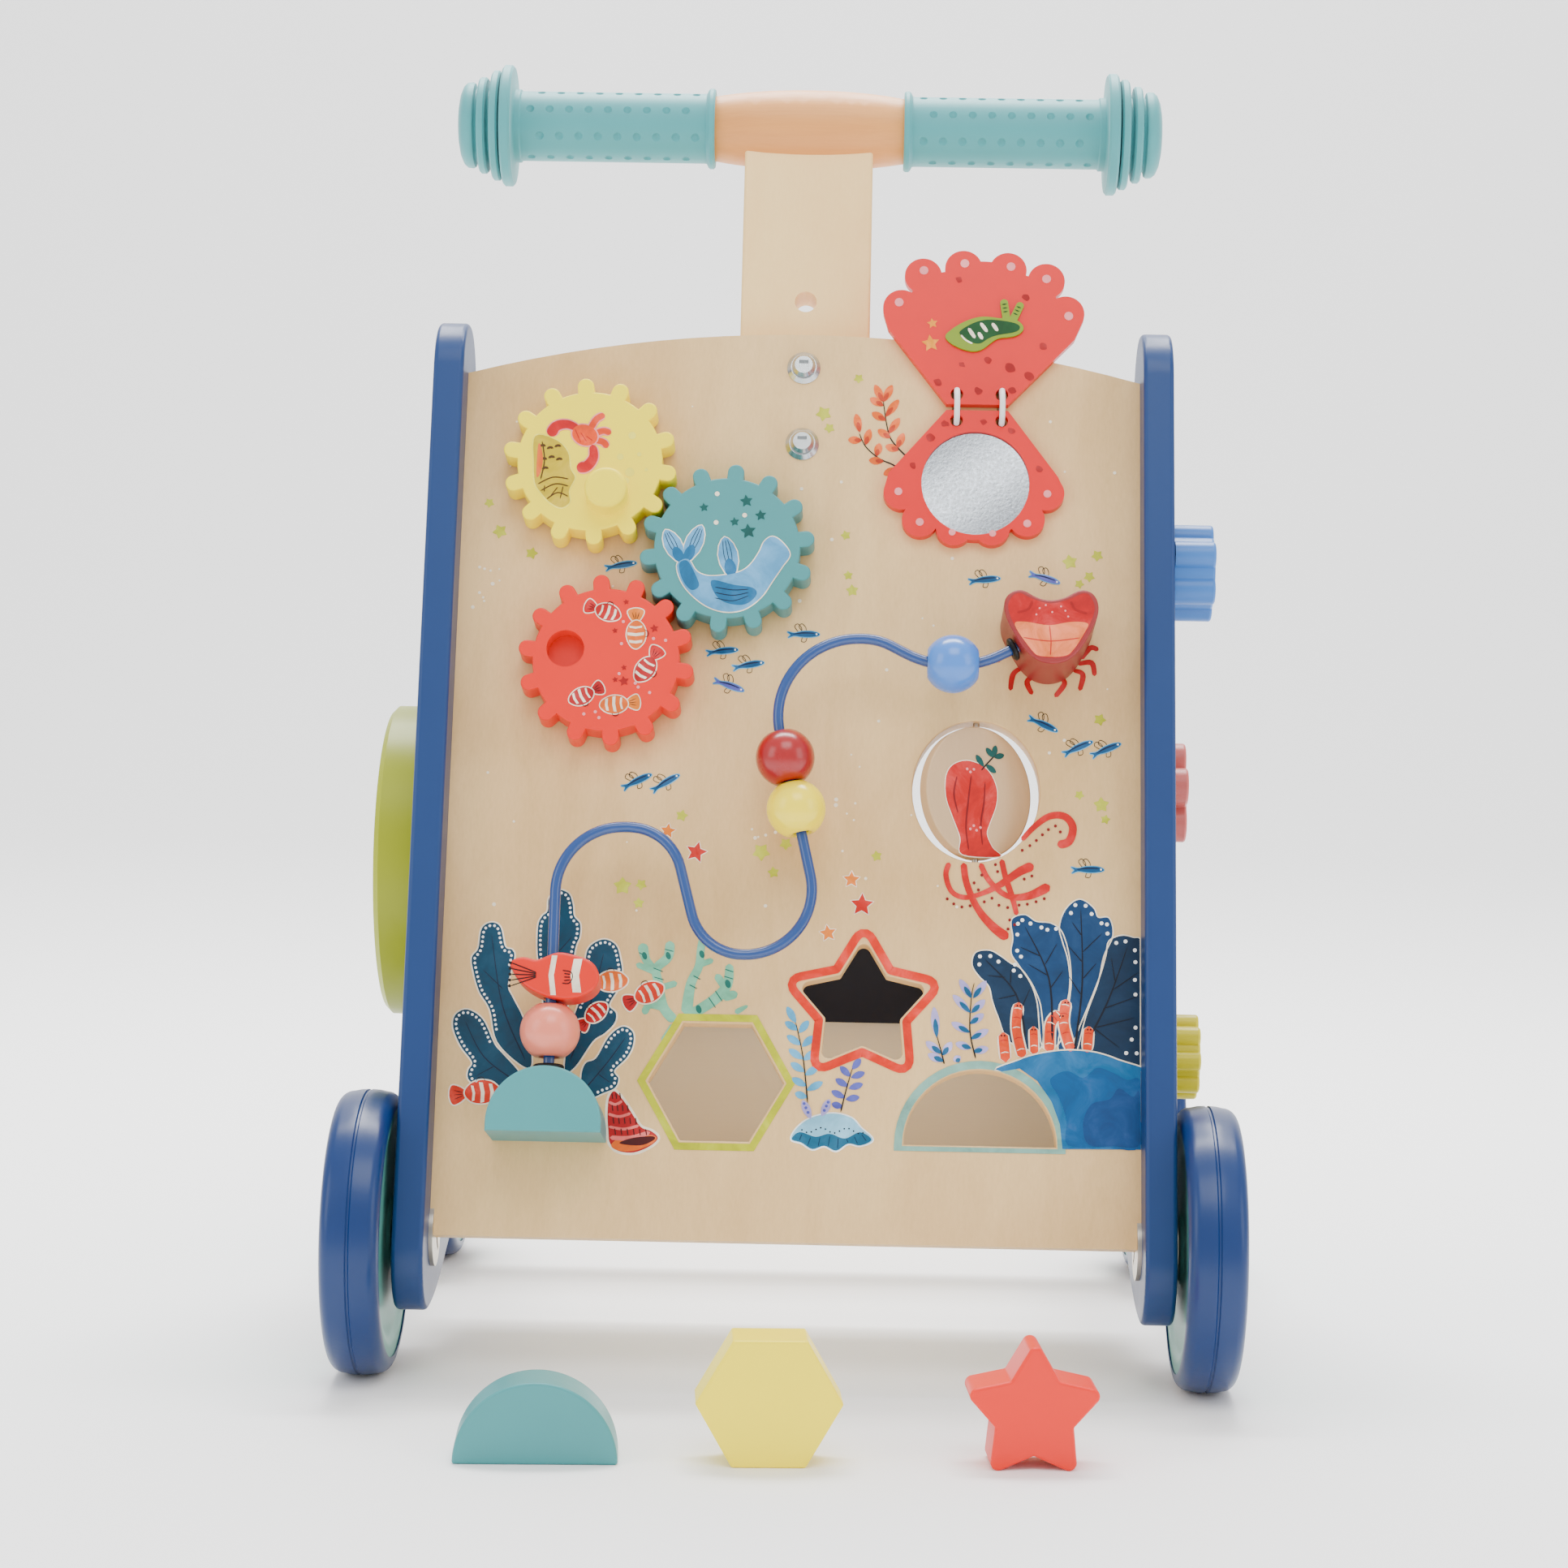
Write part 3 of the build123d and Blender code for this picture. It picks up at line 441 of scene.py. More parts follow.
grainUp = (0, radians(90), 0)
woodLooks = {
    "boardWood": {"light": (241, 215, 171), "dark": (214, 184, 134), "turn": grainUp, "contrast": 1.0},
    "plaqueWood": {"light": (224, 200, 168), "dark": (200, 172, 136), "turn": grainUp, "contrast": 0.5},
    "postWood": {"light": (255, 230, 180), "dark": (238, 199, 140), "turn": grainUp, "contrast": 0.55,
     "shift": (0.3, 0.1, 0)},
    "barWood": {"light": (240, 189, 124), "dark": (209, 151, 88), "contrast": 0.75, "coat": 0.2},
    "binWood": {"light": (255, 250, 238), "dark": (250, 240, 222), "contrast": 0.5, "coat": 0.02}}
paintLooks = {
    "navyPaint": {"colour": (44, 54, 84), "rough": 0.5, "coat": 0.05},
    "bluePaint": {"colour": (54, 97, 146), "rough": 0.4},
    "tyrePaint": {"colour": (30, 86, 138), "rough": 0.34, "coat": 0.15},
    "hubPaint": {"colour": (128, 184, 176), "rough": 0.42},
    "yellowPaint": {"colour": (255, 240, 6), "rough": 0.4, "mottle": 0.03},
    "tealPaint": {"colour": (110, 174, 176), "rough": 0.4},
    "coralPaint": {"colour": (238, 74, 36), "rough": 0.4, "mottle": 0.04},
    "recessPaint": {"colour": (150, 22, 22), "rough": 0.5},
    "shellPaint": {"colour": (230, 42, 24), "rough": 0.34, "mottle": 0.16},
    "crabPaint": {"colour": (176, 82, 84), "rough": 0.42},
    "endPaint": {"colour": (115, 180, 183), "rough": 0.42},
    "wirePaint": {"colour": (60, 108, 164), "rough": 0.22, "coat": 0.7},
    "beadBlue": {"colour": (108, 164, 226), "rough": 0.24, "coat": 0.6},
    "beadRed": {"colour": (186, 52, 60), "rough": 0.26, "coat": 0.5},
    "beadYellow": {"colour": (255, 238, 14), "rough": 0.24, "coat": 0.6, "mottle": 0.03},
    "beadPink": {"colour": (240, 164, 144), "rough": 0.28, "coat": 0.5},
    "fishPaint": {"colour": (232, 72, 36), "rough": 0.38, "mottle": 0.08},
    "slugPaint": {"colour": (158, 178, 40), "rough": 0.4, "mottle": 0.12},
    "limePaint": {"colour": (184, 190, 34), "rough": 0.4},
    "knobBlue": {"colour": (104, 156, 210), "rough": 0.38},
    "knobPink": {"colour": (216, 138, 132), "rough": 0.4},
    "knobYellow": {"colour": (222, 212, 44), "rough": 0.4}}
rubberLooks = {
    "gripRubber": {"colour": (108, 184, 187), "rough": 0.46},
    "ringPlastic": {"colour": (241, 240, 238), "rough": 0.3}}
metalLooks = {
    "steel": {"colour": (207, 202, 193), "rough": 0.28},
    "zinc": {"colour": (214, 217, 218), "rough": 0.16},
    "glassMirror": {"colour": (184, 188, 192), "rough": 0.04}}
inkLooks = {"ink": {"depth": 0.22, "rough": 0.5}, "wash": {"depth": 0.62, "rough": 0.5}}
makers = ((woodMaterial, woodLooks), (paintMaterial, paintLooks), (rubberMaterial, rubberLooks),
          (metalMaterial, metalLooks), (inkMaterial, inkLooks))
mats = {name: make(name, look) for make, looks in makers for name, look in looks.items()}
print("materials made:", len(mats))


keepLooks = {
    "storage_floor": "binWood", "storage_back_panel": "binWood", "storage_rail": "navyPaint",
    "rear_cross_rail": "postWood", "panel_screws": "steel", "handle_nuts": "steel", "axle_inserts": "steel",
    "axle_spacers": "steel", "gear_axles": "steel", "gear_spacers": "ringPlastic", "plaque_rod": "steel",
    "drum_pin": "steel", "knob_pins": "steel", "lid_rings": "ringPlastic"}
# node: (name of the finished piece, finish, record slot, crease angle where it isn't the usual one)
finishLooks = {
    "left_side_panel": ("leftPanel", "bluePaint", "blue_paint"),
    "right_side_panel": ("rightPanel", "bluePaint", "blue_paint"),
    "front_board": ("activityBoard", "boardWood", "board_wood"),
    "handle_post": ("handlePost", "postWood", "post_wood"),
    "handle_bar": ("handleBar", "barWood", "beech"),
    "handle_bolts": ("handleBolts", "zinc", "zinc", 30),
    "handle_bolt_washers": ("boltWashers", "zinc", "zinc", 30),
    "axle_bolts": ("axleBolts", "steel", "steel"),
    "yellow_gear": ("yellowGear", "yellowPaint", "yellow_paint"),
    "yellow_gear_peg": ("gearPeg", "yellowPaint", "yellow_paint"),
    "yellow_gear_cap": ("yellowGearCap", "yellowPaint", "yellow_paint"),
    "teal_gear": ("tealGear", "tealPaint", "teal_paint"),
    "teal_gear_cap": ("tealGearCap", "tealPaint", "teal_paint"),
    "coral_gear": ("coralGear", "coralPaint", "coral_paint"),
    "coral_gear_cap": ("coralGearCap", "coralPaint", "coral_paint"),
    "shell_plate": ("shellPlate", "shellPaint", "shell_red"),
    "shell_lid": ("shellLid", "shellPaint", "shell_red"),
    "shell_mirror": ("shellMirror", "glassMirror", "mirror"),
    "lid_sea_slug": ("lidSlug", "slugPaint", "slug_green"),
    "crab_block": ("wireTopBlock", "crabPaint", "crab_red", 40),
    "wire_end_block": ("wireEndBlock", "endPaint", "teal_paint"),
    "bead_wire": ("beadWire", "wirePaint", "wire_blue", 50),
    "fish_bead": ("fishBead", "fishPaint", "fish_orange", 40),
    "spin_plaque": ("spinPlaque", "plaqueWood", "board_wood"),
    "drum_disc": ("drumDisc", "limePaint", "lime_paint"),
    "blue_knob": ("blueKnob", "knobBlue", "knob_blue"), "pink_knob": ("pinkKnob", "knobPink", "knob_pink"),
    "yellow_knob": ("yellowKnob", "knobYellow", "knob_yellow"),
    "half_disc_block": ("halfDiscBlock", "tealPaint", "teal_paint"),
    "hexagon_block": ("hexagonBlock", "yellowPaint", "yellow_paint"),
    "star_block": ("starBlock", "coralPaint", "coral_paint")}

bodyOf = {n: b for b, members in frame["record"]["behaviour"]["bodies"].items() for n in members}
for node, look in keepLooks.items():
    nodes[node].data.materials.clear()
    nodes[node].data.materials.append(mats[look])
for node, (name, look, slotName, *angle) in finishLooks.items():
    mesh = cleanCopy(node, name, angle[0] if angle else creaseDefault)
    mesh.materials.clear()
    piece = newObject(name, mesh, bodyOf[node], mats[look])
    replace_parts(piece, node)
print("pieces finished from CAD:", len(finishLooks))


wheelLook = {
    "edgeRound": 4.6, "seamWidth": 1.6, "seamDeep": 0.5, "hubRound": 1.2, "hubDish": 1.2, "bore": 4.06,
    "boss": 11, "dishFrom": 14, "dishTo": 37, "rim": 40.5, "fitGap": 0.05, "crown": 0.7, "crownEnd": 2.5}


def inMetres(profile):
    return [(x * mm, r * mm) for x, r in profile]


def mirrored(profile):
    # the profile followed by its own reflection in the middle plane
    return profile + [(-x, r) for x, r in reversed(profile)]


def makeWheel(place):
    tyreLow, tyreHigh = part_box(place + "_tyre")
    hubLow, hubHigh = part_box(place + "_hub")
    centre = Vector(joints[place + "_wheel_spin"]["pos_m"])
    half = (tyreHigh.x - tyreLow.x) / 2 / mm
    mid = Vector(((tyreHigh.x + tyreLow.x) / 2, centre.y, centre.z))
    radius = (tyreHigh.z - tyreLow.z) / 2 / mm
    inner = (hubHigh.y - hubLow.y) / 2 / mm
    seam = wheelLook["seamWidth"] / 2
    arc = wheelLook["edgeRound"]
    profile = [(-half, inner), (-half, inner + 0.6)]
    for k in range(9):
        t = radians(90 * k / 8)
        profile.append((-half + arc - arc * cos(t), radius - wheelLook["crown"] - arc + arc * sin(t)))
    profile += [(-half + arc + wheelLook["crownEnd"], radius - 0.15), (-seam, radius),
                (-seam * 0.4, radius - wheelLook["seamDeep"])]
    tyre = turnedMesh(place + "Tyre", inMetres(mirrored(profile)), mid, across, 128, closed=True)
    piece = newObject(place.replace("_", "") + "Tyre", tyre, place + "_wheel", mats["tyrePaint"])
    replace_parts(piece, place + "_tyre")
    hubHalf = (hubHigh.x - hubLow.x) / 2 / mm
    hubMid = Vector(((hubHigh.x + hubLow.x) / 2, centre.y, centre.z))
    sunk = -hubHalf + wheelLook["hubDish"]
    side = rounded([(-hubHalf, wheelLook["bore"]), (-hubHalf, wheelLook["boss"]), (sunk, wheelLook["dishFrom"]),
                    (sunk, wheelLook["dishTo"]), (-hubHalf, wheelLook["rim"]),
                    (-hubHalf, inner - wheelLook["fitGap"])], wheelLook["hubRound"])
    hub = turnedMesh(place + "Hub", inMetres(mirrored(side)), hubMid, across, 96, closed=True)
    piece = newObject(place.replace("_", "") + "Hub", hub, place + "_wheel", mats["hubPaint"])
    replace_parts(piece, place + "_hub")


for place in ("front_left", "front_right", "rear_left", "rear_right"):
    makeWheel(place)

beadLook = {"radius": 10.8, "flat": 9.4, "bore": 3.2, "lip": 0.7}


def makeBead(node, name, look, along):
    lo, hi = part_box(node)
    centre = (lo + hi) / 2
    r, flat, bore, lip = (beadLook[key] for key in ("radius", "flat", "bore", "lip"))
    profile = [(-flat + lip, bore), (-flat, bore + lip)]
    edge = (r * r - flat * flat) ** 0.5
    start = atan2(edge, -flat)
    for k in range(25):
        t = start + (pi - start - start) * k / 24
        profile.append((r * cos(t), r * sin(t)))
    profile += [(flat, bore + lip), (flat - lip, bore)]
    mesh = turnedMesh(name, inMetres(profile), centre, along, 64, closed=True)
    piece = newObject(name, mesh, bodyOf[node], mats[look])
    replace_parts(piece, node)


runAxis = Vector(joints["red_bead_slide"]["axis"])
for tint, along in (("blue", across), ("red", runAxis), ("yellow", runAxis), ("pink", upSlope)):
    makeBead(tint + "_bead", tint + "Bead", "bead" + tint.capitalize(), along)
print("wheels and beads made")


gripLook = {"bodyRadius": 13.5, "dimpleRows": 8, "dimplesPerRow": 9, "dimplePitch": 7.6, "dimpleSize": 1.9,
            "firstDimple": 7.5, "lift": 0.9}
# along the grip from its inner flange, and radius, in millimetres
gripShape = [
    (0, 9.6), (0, 15.0), (0.7, 15.6), (2.0, 15.6), (2.7, 15.0), (3.4, 13.6), (4.5, 13.5), (76, 13.5),
    (76.5, 14.2), (78.6, 14.2), (79.2, 15.2), (79.2, 22.6), (80.0, 23.5), (82.7, 23.5), (83.5, 22.6),
    (83.5, 15.2), (83.9, 14.2), (84.4, 15.0), (84.4, 20.5), (85.1, 21.3), (87.0, 21.3), (87.7, 20.5),
    (87.7, 15.2), (88.4, 14.2), (89.0, 14.2), (89.6, 15.0), (89.6, 18.0), (90.3, 18.7), (92.1, 18.7),
    (92.8, 18.0), (92.8, 15.0), (93.4, 14.2), (94.0, 14.4), (94.4, 15.2), (94.6, 16.2), (95.4, 16.7),
    (97.4, 16.5), (98.8, 15.3), (100.0, 12.6), (100.7, 9.0), (101, 5.0), (101, 0)]


def repeatShape(tree, points, shape, gin, gout, scale=None):
    # a real copy of the shape on every point, in the group's material
    add, link = tree.nodes.new, tree.links.new
    many = add("GeometryNodeInstanceOnPoints")
    link(points, many.inputs["Points"])
    link(shape, many.inputs["Instance"])
    if scale:
        link(scale, many.inputs["Scale"])
    real = add("GeometryNodeRealizeInstances")
    link(many.outputs[0], real.inputs[0])
    paint = add("GeometryNodeSetMaterial")
    link(real.outputs[0], paint.inputs["Geometry"])
    link(gin.outputs["Material"], paint.inputs["Material"])
    link(paint.outputs[0], gout.inputs[0])


def dimpleTree():
    # a ring of small cup-shaped studs set in rows along a round grip; each is later cut as a dimple
    wants = [
        ("Rows", "NodeSocketInt", gripLook["dimpleRows"]),
        ("Per row", "NodeSocketInt", gripLook["dimplesPerRow"]),
        ("Pitch", "NodeSocketFloat", gripLook["dimplePitch"] * mm),
        ("Radius", "NodeSocketFloat", gripLook["bodyRadius"] * mm),
        ("Size", "NodeSocketFloat", gripLook["dimpleSize"] * mm),
        ("Material", "NodeSocketMaterial", None)]
    tree, gin, gout = groupTree("gripDimples", wants, [("Geometry", "NodeSocketGeometry")], "GeometryNodeTree")
    add, link = tree.nodes.new, tree.links.new
    plus, times = sums(tree)
    perRow, rows, index = gin.outputs["Per row"], gin.outputs["Rows"], add("GeometryNodeInputIndex").outputs[0]
    points = add("GeometryNodePoints")
    link(times(rows, perRow), points.inputs["Count"])
    row = mathNode(tree, "FLOOR", mathNode(tree, "DIVIDE", index, perRow))
    stagger = times(mathNode(tree, "MODULO", row, 2.0), 0.5)
    angle = times(mathNode(tree, "DIVIDE", row, rows), 2 * pi)
    place = add("ShaderNodeCombineXYZ")
    link(times(plus(mathNode(tree, "MODULO", index, perRow), stagger), gin.outputs["Pitch"]), place.inputs[0])
    link(times(mathNode(tree, "COSINE", angle), gin.outputs["Radius"]), place.inputs[1])
    link(times(mathNode(tree, "SINE", angle), gin.outputs["Radius"]), place.inputs[2])
    put = add("GeometryNodeSetPosition")
    link(points.outputs[0], put.inputs["Geometry"])
    link(place.outputs[0], put.inputs["Position"])
    stud = add("GeometryNodeMeshUVSphere")
    stud.inputs["Segments"].default_value = 12
    stud.inputs["Rings"].default_value = 8
    link(gin.outputs["Size"], stud.inputs["Radius"])
    repeatShape(tree, put.outputs[0], stud.outputs["Mesh"], gin, gout)
    return tree


def runTree(tree, name, values, mesh=None):
    # work out a Geometry Nodes group once and hand back the plain mesh
    holder = bpy.data.objects.new(name + "Maker", mesh or bpy.data.meshes.new(name + "Maker"))
    scene.collection.objects.link(holder)
    mod = holder.modifiers.new("maker", "NODES")
    mod.node_group = tree
    setInputs(mod, values)
    made = bakedMesh(holder, name)
    soleMaterial(made, values["Material"])
    return made


gripDimples = dimpleTree()


def makeGrip(node, name):
    lo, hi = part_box(node)
    side = -1 if hi.x < 0 else 1
    innerX = hi.x if side < 0 else lo.x
    centre = Vector((innerX, (lo.y + hi.y) / 2, (lo.z + hi.z) / 2))
    mesh = turnedMesh(name, [(side * x * mm, r * mm) for x, r in gripShape], centre, across, 96)
    # close the inner face against the bar's core
    bm = meshEditor(mesh)
    bmesh.ops.holes_fill(bm, edges=[e for e in bm.edges if len(e.link_faces) == 1])
    bmesh.ops.recalc_face_normals(bm, faces=bm.faces)
    putBack(bm, mesh)
    piece = bpy.data.objects.new(name, mesh)
    scene.collection.objects.link(piece)
    studs = runTree(gripDimples, name + "Studs", {"Material": mats["gripRubber"]})
    reach = gripLook["firstDimple"] * mm
    turn = Matrix.Translation(centre + across * side * reach) @ Matrix.Diagonal((side, 1, 1, 1))
    studs.transform(turn @ Matrix.Rotation(pi / gripLook["dimpleRows"], 4, "X"))
    # the studs sit a little proud of the skin, so the cut leaves shallow cups
    cup = meshEditor(studs)
    bmesh.ops.recalc_face_normals(cup, faces=cup.faces)
    for v in cup.verts:
        out = Vector((0, v.co.y - centre.y, v.co.z - centre.z))
        v.co += out.normalized() * gripLook["lift"] * mm
    putBack(cup, studs)
    cutter = bpy.data.objects.new(name + "Cutter", studs)
    scene.collection.objects.link(cutter)
    cut = piece.modifiers.new("dimples", "BOOLEAN")
    cut.operation, cut.solver, cut.object = "DIFFERENCE", "EXACT", cutter
    done = bakedMesh(piece, name)
    bpy.data.objects.remove(cutter)
    soleMaterial(done, mats["gripRubber"])
    bm = meshEditor(done)
    crease(bm, gripCrease)
    putBack(bm, done)
    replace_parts(newObject(name, done, "walker"), node)
    print(name, "faces", len(done.polygons))


makeGrip("left_grip", "leftGrip")
makeGrip("right_grip", "rightGrip")
print("grips made")


# dark rings where the wire goes into the two blocks: painted shade standing in for the shadowed inside of each
# drilled hole
holeShadeMat = paintMaterial("socketPaintedShade", {"colour": (34, 32, 34), "rough": 0.5, "coat": 0.0})
wireRise = radians(27)
wireEnds = (("endBlockSocket", (-85.5, 58.6, 20.0), upSlope, 5.6, "teal_paint"),
            ("topBlockSocket", (79.4, 216.8, 20.0), across * cos(wireRise) + upSlope * sin(wireRise), 4.4,
             "crab_red"))
for name, at, along, radius, slotName in wireEnds:
    profile = [(-0.9, 2.35), (-1.0, 3.0), (-1.0, radius - 0.8), (-0.4, radius), (0.5, radius),
               (1.0, radius - 0.5), (1.0, 2.35)]
    mesh = turnedMesh(name, inMetres(profile), onBoard(*at), along, 40, closed=True)
    newObject(name, mesh, "walker", holeShadeMat)

# Every print is a closed film a tenth of a millimetre thick, drawn in millimetres on its own sheet.


def drawnOn(a, b, c, origin):
    # from a sheet's millimetres along a, b and c to metres in the frame
    return Matrix([(*(axis[i] * mm for axis in (a, b, c)), origin[i]) for i in range(3)] + [(0, 0, 0, 1)])


boardMatrix = drawnOn(across, upSlope, outward, boardFoot)
inkColours = {
    "cream": (244, 236, 220), "white": (250, 250, 248), "seaTeal": (0, 104, 128), "seaDeep": (0, 66, 96),
    "mint": (150, 205, 180), "mintDark": (60, 140, 130), "lime": (205, 208, 0), "paleLime": (208, 210, 92),
    "orange": (236, 158, 66), "red": (212, 74, 62), "holeRed": (228, 82, 42), "holeTeal": (160, 196, 186),
    "minnow": (38, 120, 160), "minnowDark": (20, 62, 100), "line": (52, 46, 46), "fish": (222, 86, 48),
    "fishRed": (206, 44, 52), "fishOrange": (232, 140, 60), "leafBlue": (0, 98, 138), "leafDeep": (0, 82, 112),
    "vein": (8, 44, 70), "mound": (62, 142, 184), "moundMid": (38, 124, 172), "moundDeep": (12, 108, 158),
    "tube": (232, 112, 66), "tubeRed": (210, 70, 44), "lilac": (196, 188, 226), "sprigBlue": (22, 126, 160),
    "skyBlue": (128, 194, 224), "violet": (128, 132, 200), "ruffle": (170, 214, 232),
    "ruffleDeep": (0, 132, 160), "arm": (214, 56, 48), "armDark": (160, 30, 44), "twig": (236, 140, 52),
    "twigRed": (206, 96, 36), "dotPink": (245, 178, 180), "freckle": (186, 20, 34), "shellStar": (240, 178, 66),
    "slug": (20, 112, 62), "shellYellow": (214, 196, 22), "shellBrown": (120, 92, 10),
    "coralRed": (214, 44, 56), "coralOrange": (240, 118, 52), "bubble": (246, 238, 120),
    "whale": (128, 184, 216), "whaleDeep": (28, 138, 176), "starTeal": (24, 122, 118), "starRed": (186, 30, 36),
    "peach": (240, 158, 112), "coneRed": (196, 48, 60), "coneDark": (110, 14, 26), "conePink": (236, 150, 146),
    "leg": (204, 52, 46)}
sheets = []


def newSheet(name, body, slotName, base=0.0, matrix=boardMatrix):
    sheet = {
        "name": name, "body": body, "slot": slotName, "matrix": matrix, "base": base, "verts": [], "faces": [],
        "inks": [], "count": 0, "dots": []}
    sheets.append(sheet)
    return sheet


# heights over the sheet's base: underside, top, one layer more, and a shade so that no two tops agree
film = {"under": 0.02, "top": 0.1, "layer": 0.06, "shade": 0.0022, "shades": 25, "dotUnder": 0.03,
        "dotTop": 0.08}


def level(sheet, layer):
    sheet["count"] += 1
    top = film["top"] + film["layer"] * layer + film["shade"] * (sheet["count"] % film["shades"])
    return sheet["base"] + film["under"], sheet["base"] + top


def area(points):
    return sum(p[0] * q[1] - q[0] * p[1] for p, q in zip(points, points[1:] + points[:1])) / 2


def leftTurning(outline):
    points = list(outline)
    return points if area(points) > 0 else points[::-1]


def fill(sheet, outline, colour, layer=1):
    # one closed outline, cut out of film
    points = leftTurning(outline)
    lo, hi = level(sheet, layer)
    start, n = len(sheet["verts"]), len(points)
    sheet["verts"] += [(u, v, lo) for u, v in points] + [(u, v, hi) for u, v in points]
    faces = [tuple(start + n + i for i in range(n)), tuple(start + i for i in reversed(range(n)))]
    faces += [(start + i, start + (i + 1) % n, start + n + (i + 1) % n, start + n + i) for i in range(n)]
    sheet["faces"] += faces
    sheet["inks"] += [colour] * len(faces)


def strip(sheet, left, right, colour, layer, closed=False):
    # a ribbon of film between two lines of the same length
    lo, hi = level(sheet, layer)
    start, n = len(sheet["verts"]), len(left)
    for z in (lo, hi):
        sheet["verts"] += [(u, v, z) for u, v in left] + [(u, v, z) for u, v in right]
    faces = []
    for i in range(n if closed else n - 1):
        j = (i + 1) % n
        a, b, c, d = start + i, start + j, start + n + j, start + n + i
        faces += [(a, b, c, d), (a + 2 * n, d + 2 * n, c + 2 * n, b + 2 * n), (a, a + 2 * n, b + 2 * n, b),
                  (d, c, c + 2 * n, d + 2 * n)]
    if not closed:
        for i, flip in ((0, False), (n - 1, True)):
            cap = (start + i, start + n + i, start + 3 * n + i, start + 2 * n + i)
            faces.append(tuple(reversed(cap)) if flip else cap)
    sheet["faces"] += faces
    sheet["inks"] += [colour] * len(faces)


def smoothSpan(p0, p1, p2, p3, steps):
    # points from p1 up to p2 of the curve through all four
    out = []
    for t in (k / steps for k in range(steps)):
        q = 0.5 * (2 * p1 + (p2 - p0) * t + (2 * p0 - 5 * p1 + 4 * p2 - p3) * t * t
                   + (3 * p1 - p0 - 3 * p2 + p3) * t ** 3)
        out.append((q.x, q.y))
    return out


def smoothLoop(points, steps=5):
    out, n = [], len(points)
    for i in range(n):
        out += smoothSpan(*(Vector(points[(i + k) % n]) for k in (-1, 0, 1, 2)), steps)
    return out


def smoothLine(points, steps=6):
    pts = [points[0]] + list(points) + [points[-1]]
    out = []
    for i in range(1, len(pts) - 2):
        out += smoothSpan(*(Vector(pts[i + k]) for k in (-1, 0, 1, 2)), steps)
    return out + [tuple(points[-1])]


def between(a, b, t):
    return a[0] + (b[0] - a[0]) * t, a[1] + (b[1] - a[1]) * t


def ring(u, v, a, b=None, turn=0.0, steps=20):
    b, t0 = b or a, radians(turn)
    out = []
    for k in range(steps):
        x, y = a * cos(2 * pi * k / steps), b * sin(2 * pi * k / steps)
        out.append((u + x * cos(t0) - y * sin(t0), v + x * sin(t0) + y * cos(t0)))
    return out


def starShape(u, v, r, turn=0.0, deep=0.5):
    out = []
    for k in range(10):
        t = radians(turn + 90 + 36 * k)
        q = r if k % 2 == 0 else r * deep
        out.append((u + q * cos(t), v + q * sin(t)))
    return smoothLoop(out, 2)


def leafShape(base, tip, width):
    a, b = Vector(base), Vector(tip)
    along, side = b - a, Vector((-(b - a).y, (b - a).x)).normalized() * width / 2
    ts = ((0, 0.0), (0.16, 0.55), (0.4, 0.95), (0.62, 1.0), (0.82, 0.74), (0.95, 0.34), (1, 0.0))
    left = [a + along * t + side * w for t, w in ts]
    right = [a + along * t - side * w for t, w in reversed(ts[1:-1])]
    return [tuple(p) for p in left + right]


def grow(outline, d):
    # the same outline, d larger all round
    points = leftTurning(outline)
    out, n = [], len(points)
    for i, p in enumerate(points):
        a, b = Vector(points[i - 1]), Vector(points[(i + 1) % n])
        t = (b - a).normalized()
        out.append((p[0] + t.y * d, p[1] - t.x * d))
    return out


def stroke(sheet, points, width, colour, layer=2, steps=6):
    # a brushed line with round ends; width is (start, middle, end) or one value
    line = [Vector(p) for p in smoothLine(points, steps)]
    line = [p for i, p in enumerate(line) if i == 0 or (p - line[i - 1]).length > 1e-4]
    w = width if isinstance(width, tuple) else (width,) * 3
    total = [0.0]
    for p, q in zip(line, line[1:]):
        total.append(total[-1] + (q - p).length)
    left, right = [], []
    for i, p in enumerate(line):
        t = total[i] / total[-1]
        half = 0.5 * (w[0] + (w[1] - w[0]) * t * 2 if t < 0.5 else w[1] + (w[2] - w[1]) * (t * 2 - 1))
        near = min(total[i], total[-1] - total[i])
        if near < half:
            half = max(half * 0.18, (half * half - (half - near) ** 2) ** 0.5)
        d = (line[min(i + 1, len(line) - 1)] - line[max(i - 1, 0)]).normalized()
        side = Vector((-d.y, d.x)) * half
        left.append(tuple(p - side))
        right.append(tuple(p + side))
    strip(sheet, left, right, colour, layer)


def patch(sheet, outline, colour, edge=0.0, edgeColour="cream", layer=1):
    if edge:
        fill(sheet, grow(outline, edge), edgeColour, layer - 1)
    fill(sheet, outline, colour, layer)


def dot(sheet, u, v, r, colour="white", layer=3):
    sheet["dots"].append((u, v, r, colour, layer))


def dotsAlong(sheet, outline, pitch, r, inset, colour="white", first=0.0, last=1.0):
    # dots in a row just inside an outline, between two fractions of its length
    inner = [Vector(p) for p in grow(outline, -inset)]
    inner.append(inner[0])
    total = sum((q - p).length for p, q in zip(inner, inner[1:]))
    walked, due = 0.0, total * first
    for p, q in zip(inner, inner[1:]):
        step = (q - p).length
        while step > 0 and due <= walked + step and due < total * last:
            at = p.lerp(q, (due - walked) / step)
            dot(sheet, at.x, at.y, r, colour)
            due += pitch
        walked += step


boardArt = newSheet("boardPrint", "walker", "board_wood")

# borders of the shape holes: the hole's own edge comes from the CAD board's openings
artSizes = {"hexagon": (-26.2, 57.4, 24.8, 27.3), "halfDisc": (69.75, 36.1, 27.6, 31.0),
            "star": (26.7, 86.2, 25.6, 14.3)}


def hexagonPoints(u, v, r):
    return [(u + r * cos(radians(60 * k)), v + r * sin(radians(60 * k))) for k in range(6)]


